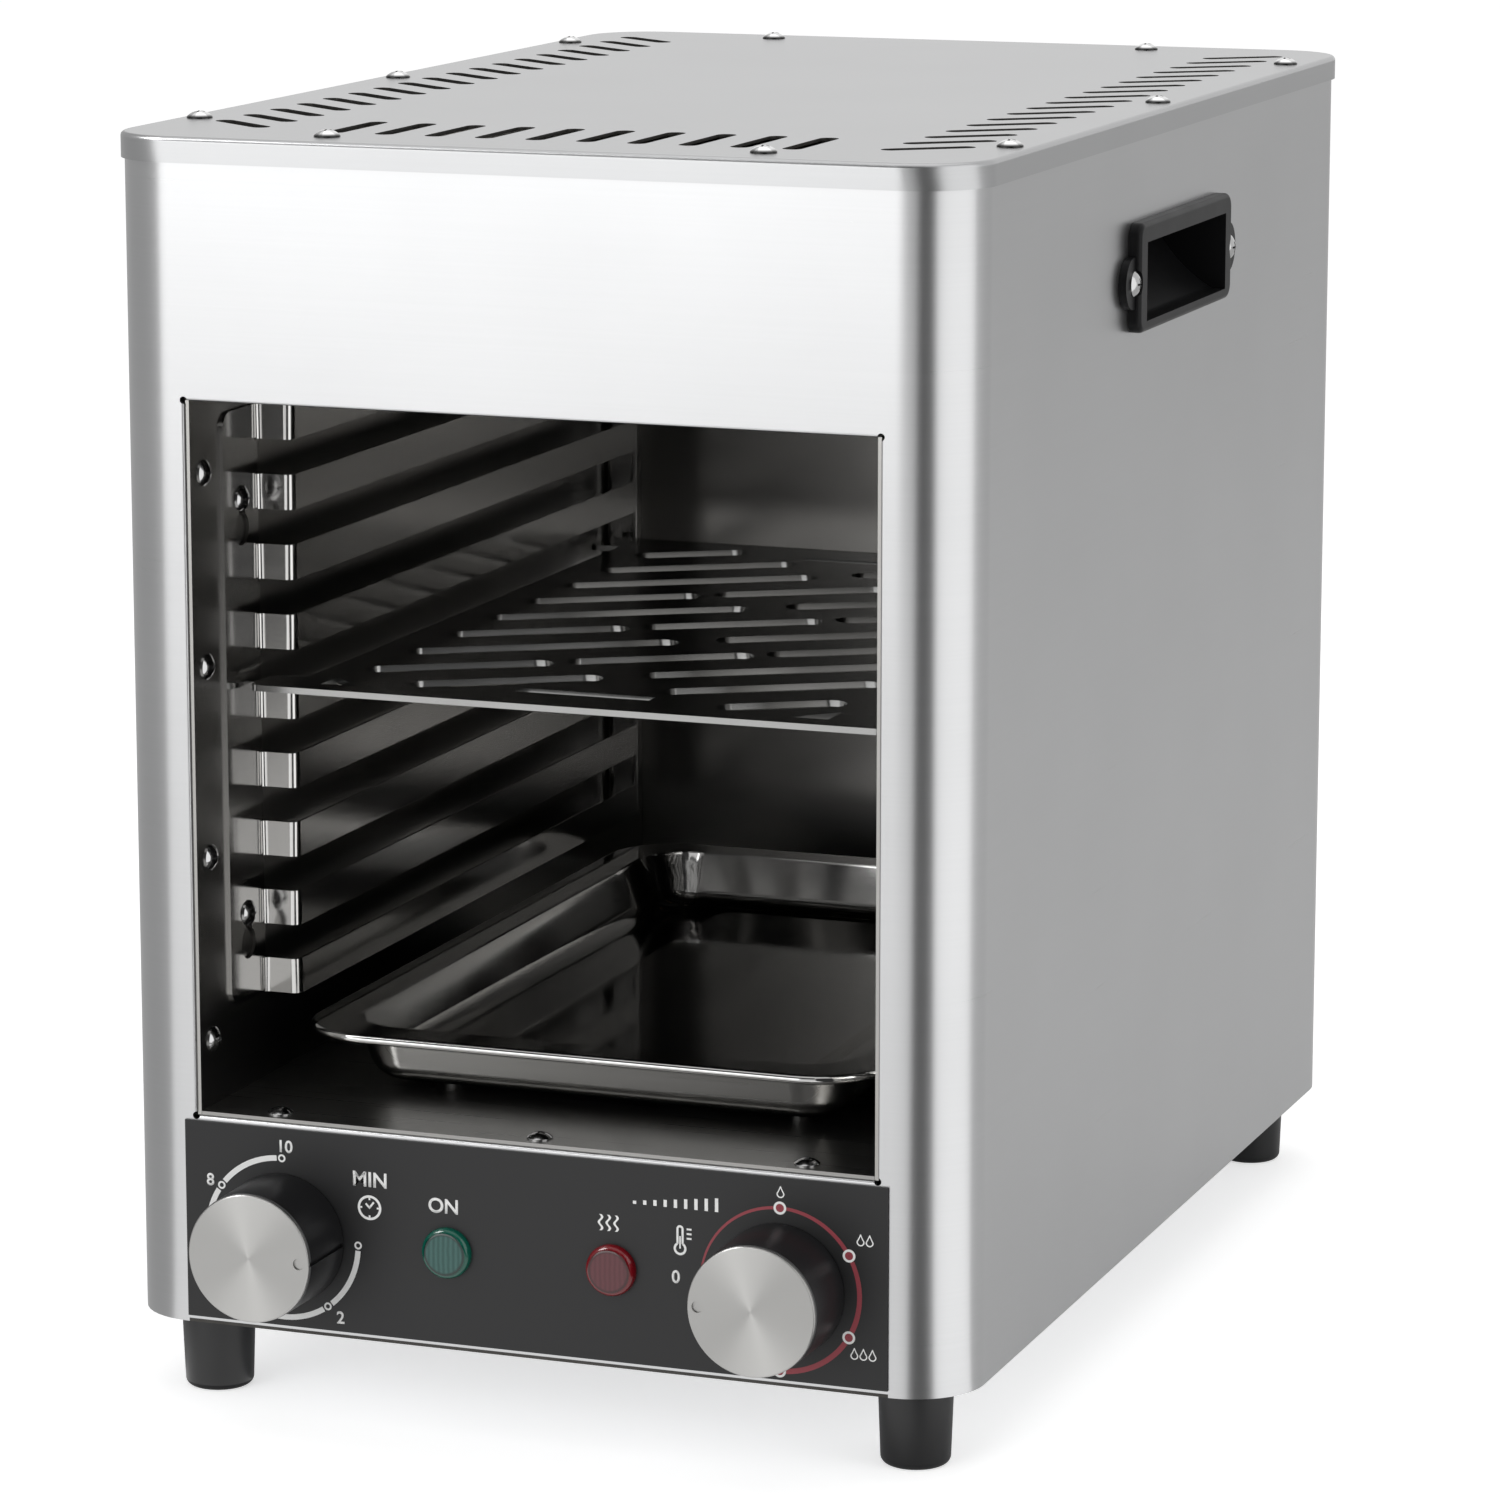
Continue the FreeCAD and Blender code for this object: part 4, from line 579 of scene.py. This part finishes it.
knob_black = moulded("knob black", (0.009, 0.009, 0.010), 0.36, mottle=0.05, spread=0.03, relief=0.02)
knob_face = brushed("spun aluminium", (0.32, 0.317, 0.309), 0.32, (2.0, 2.0, 2.0), streak=0.01, cloud=0.01,
                    relief=0.0)
spun = knob_face.node_tree
turning = spun.nodes.new("ShaderNodeTangent")
turning.direction_type = "RADIAL"
turning.axis = "Y"
spun.links.new(turning.outputs[0], spun.nodes["Principled BSDF"].inputs["Tangent"])
spun.nodes["Principled BSDF"].inputs["Anisotropic"].default_value = 0.85
spun.nodes["Principled BSDF"].inputs["Anisotropic Rotation"].default_value = 0.25
for use in ("timer", "temperature"):
    dress(use + "_knob", knob_black)
    dress(use + "_knob_cap", knob_face)
for shaft in ("timer_shaft", "thermostat_shaft"):
    coat(shaft, screw_steel)


# Back panel and cord inlet. A slotted satin sheet screwed on behind, with a black gland for the cord.

dress("back_panel", satin_steel)
dress("back_panel_screws", screw_steel)
handle_black = moulded("handle black", (0.007, 0.007, 0.0075), 0.36, relief=0.06, shine=0.1)
dress("cord_gland", handle_black)
dress("cord_gland_nut", handle_black)


# Top cover. A shallow lid of satin sheet, a little darker than the wrap, with rows of slots whose
# cut faces carry painted shade. Eight polished dome screws hold it, each with painted shade round its foot.

cover_steel = brushed("cover steel", (0.37, 0.372, 0.376), 0.30, (8.0, 8.0, 1500.0), streak=0.025,
                      cloud=0.04, spread=0.012, relief=0.004)
COVER_TOP = 380.1
cover = dress("top_cover", cover_steel)
# Painted shade on the cut faces of the slots, for their dark insides.
paint_shade_on_cuts(cover, spot(-131, 8, COVER_TOP - 1.3), spot(131, 424, COVER_TOP + 0.3), 2)


def shade_below(finish, low, high):
    """Paints shade on a metal towards the foot of its piece, darker from one height down to a lower one."""
    tree = finish.node_tree
    colour = tree.nodes["Principled BSDF"].inputs["Base Color"]
    place = tree.nodes.new("ShaderNodeTexCoord")
    parts = tree.nodes.new("ShaderNodeSeparateXYZ")
    tree.links.new(place.outputs["Object"], parts.inputs[0])
    rise = tree.nodes.new("ShaderNodeMapRange")
    rise.interpolation_type = "SMOOTHSTEP"
    rise.inputs["From Min"].default_value = spot(0, 0, low).z
    rise.inputs["From Max"].default_value = spot(0, 0, high).z
    rise.inputs["To Min"].default_value = 0.06
    tree.links.new(parts.outputs["Z"], rise.inputs["Value"])
    shade = tree.nodes.new("ShaderNodeVectorMath")
    shade.operation = "SCALE"
    tree.links.new(colour.links[0].from_socket, shade.inputs[0])
    tree.links.new(rise.outputs[0], shade.inputs["Scale"])
    tree.links.new(shade.outputs[0], colour)


cover_screw_steel = brushed("cover screw steel", (0.75, 0.75, 0.75), 0.12, (500.0, 500.0, 500.0),
                            streak=0.03, cloud=0.03)
# Painted shade round the foot of each dome screw, the top left bright.
shade_below(cover_screw_steel, COVER_TOP + 0.5, COVER_TOP + 1.4)
dress("top_cover_screws", cover_screw_steel)


# Side handles. Black scooped grips let into the side walls, with a screw at each end.

dress("side_handle_left", handle_black)
dress("side_handle_right", handle_black)
dress("handle_screws", screw_steel)


# Grill plate and drip tray. The plate is a flat steel sheet with slanted slots. The tray is deep
# drawn from polished sheet, with a rolled bead round its rim.

plate_steel = brushed("plate steel", (0.30, 0.30, 0.295), 0.20, (40.0, 40.0, 40.0), streak=0.04, cloud=0.05)
dress("grill_plate", plate_steel)
tray_steel = brushed("tray steel", (0.45, 0.447, 0.44), 0.07, (40.0, 40.0, 40.0), streak=0.02, cloud=0.03,
                     spread=0.02, relief=0.0)
dress("drip_tray", tray_steel)


# Studio: a pale floor that keeps the shadow, a white surround, large soft lamps at the front left, at
# the right and above, and a small bright one. Bright, grey and dark cards stand round for the steel.

def ray_level(tree, plain, mirrored, seen):
    """A brightness that depends on the ray: light on surfaces, a mirror image, or the camera's view."""
    rays = tree.nodes.new("ShaderNodeLightPath")
    start = tree.nodes.new("ShaderNodeValue")
    start.outputs[0].default_value = plain
    level = start.outputs[0]
    for kind, value in (("Is Glossy Ray", mirrored), ("Is Transmission Ray", seen), ("Is Camera Ray", seen)):
        choice = tree.nodes.new("ShaderNodeMix")
        choice.data_type = "FLOAT"
        choice.inputs["B"].default_value = value
        tree.links.new(level, choice.inputs["A"])
        tree.links.new(rays.outputs[kind], choice.inputs["Factor"])
        level = choice.outputs["Result"]
    return level


world = bpy.data.worlds.new("studio")
world.use_nodes = True
bpy.context.scene.world = world
sky = world.node_tree
sky.links.new(ray_level(sky, 0.55, 1.0, 1.0), sky.nodes["Background"].inputs["Strength"])
sky.nodes["Background"].inputs["Color"].default_value = (1, 1, 1, 1)

floor_form = bmesh.new()
bmesh.ops.create_grid(floor_form, x_segments=1, y_segments=1, size=9.0)
floor_mesh = bpy.data.meshes.new("floor")
floor_form.to_mesh(floor_mesh)
floor_form.free()
floor = bpy.data.objects.new("floor", floor_mesh)
bpy.context.scene.collection.objects.link(floor)
paper, paper_tree, paper_surface = new_finish("floor paper")
paper_surface.inputs["Base Color"].default_value = (0.80, 0.80, 0.80, 1)
paper_surface.inputs["Roughness"].default_value = 0.9
paper_surface.inputs["Specular IOR Level"].default_value = 0.0
paper_surface.inputs["Emission Color"].default_value = (1, 1, 1, 1)
paper_tree.links.new(ray_level(paper_tree, 0.0, 0.12, 0.58), paper_surface.inputs["Emission Strength"])
floor_mesh.materials.append(paper)


def soft_lamp(name, place, aim, width, height, radiance):
    """A square softbox of a given brightness, as seen in the steel."""
    data = bpy.data.lights.new(name, "AREA")
    data.shape = "RECTANGLE"
    data.size = width
    data.size_y = height
    data.energy = radiance * width * height * pi
    lamp = bpy.data.objects.new(name, data)
    lamp.location = place
    lamp.rotation_euler = (Vector(aim) - Vector(place)).to_track_quat("-Z", "Y").to_euler()
    lamp.visible_camera = False
    bpy.context.scene.collection.objects.link(lamp)
    return lamp


MIDDLE = (0.0, 0.0, 0.2)
soft_lamp("front left softbox", (-1.15, -2.5, 0.75), MIDDLE, 1.9, 1.9, 2.2)
soft_lamp("right softbox", (2.5, -0.5, 0.9), MIDDLE, 1.5, 1.6, 2.0)
soft_lamp("top softbox", (0.0, 0.3, 2.4), MIDDLE, 2.0, 2.0, 0.6)
sparkle = soft_lamp("sparkle lamp", (-1.6, -1.1, 1.9), MIDDLE, 1.0, 1.0, 13.0)
sparkle.visible_diffuse = False


def reflector(name, across, start, end, level, outline=((0.06, 0.003), (2.1, 0.003), (2.1, 2.6))):
    """A curved card seen only as a mirror image. It goes round a place behind the cabinet's front, between
    two bearings from the front in degrees. Its outline gives the reach and height of each bend, in m."""
    form = bmesh.new()
    corner = spot(across, 25, 0)
    profile = [form.verts.new((corner.x, corner.y - reach, height)) for reach, height in outline]
    sides = [form.edges.new(pair) for pair in zip(profile, profile[1:])]
    bmesh.ops.rotate(form, verts=profile, cent=corner, matrix=Matrix.Rotation(radians(start), 3, "Z"))
    bmesh.ops.spin(form, geom=profile + sides, cent=corner, axis=(0, 0, 1), angle=radians(end - start),
                   steps=16)
    paint, _, paint_surface = new_finish(name)
    paint_surface.inputs["Base Color"].default_value = (0, 0, 0, 1)
    paint_surface.inputs["Specular IOR Level"].default_value = 0.0
    paint_surface.inputs["Emission Color"].default_value = (1, 1, 1, 1)
    paint_surface.inputs["Emission Strength"].default_value = level
    mesh = bpy.data.meshes.new(name)
    form.to_mesh(mesh)
    form.free()
    mesh.materials.append(paint)
    card = bpy.data.objects.new(name, mesh)
    bpy.context.scene.collection.objects.link(card)
    for rays in ("camera", "diffuse", "transmission", "volume_scatter", "shadow"):
        setattr(card, "visible_" + rays, False)


reflector("dark_card", 119, 13, 42, 0.06)
reflector("bright_card", 119, 48, 110, 1.75)
reflector("grey_card", -119, -148, -44, 0.55)
reflector("front_card", 0, -90, 75, 1.35, ((0.03, 0.002), (1.9, 0.002), (2.05, 0.002)))
reflector("dark_canopy", 0, -80, 14, 0.1, ((2.25, 1.0), (2.25, 3.2)))


# Camera. It stands at the photograph's viewing angle, off the right front corner and above the cover,
# with a long lens.

eye = bpy.data.cameras.new("camera")
eye.sensor_width = 36.0
eye.lens = 144.485
camera = bpy.data.objects.new("camera", eye)
bpy.context.scene.collection.objects.link(camera)
camera.matrix_world = (Matrix.Translation((0.69375, -1.89011, 0.58646))
                       @ Matrix.Rotation(radians(20.250), 4, "Z")
                       @ Matrix.Rotation(radians(90 - 11.316), 4, "X")
                       @ Matrix.Rotation(radians(0.010), 4, "Z"))
bpy.context.scene.camera = camera
bpy.context.scene.view_settings.view_transform = "Standard"
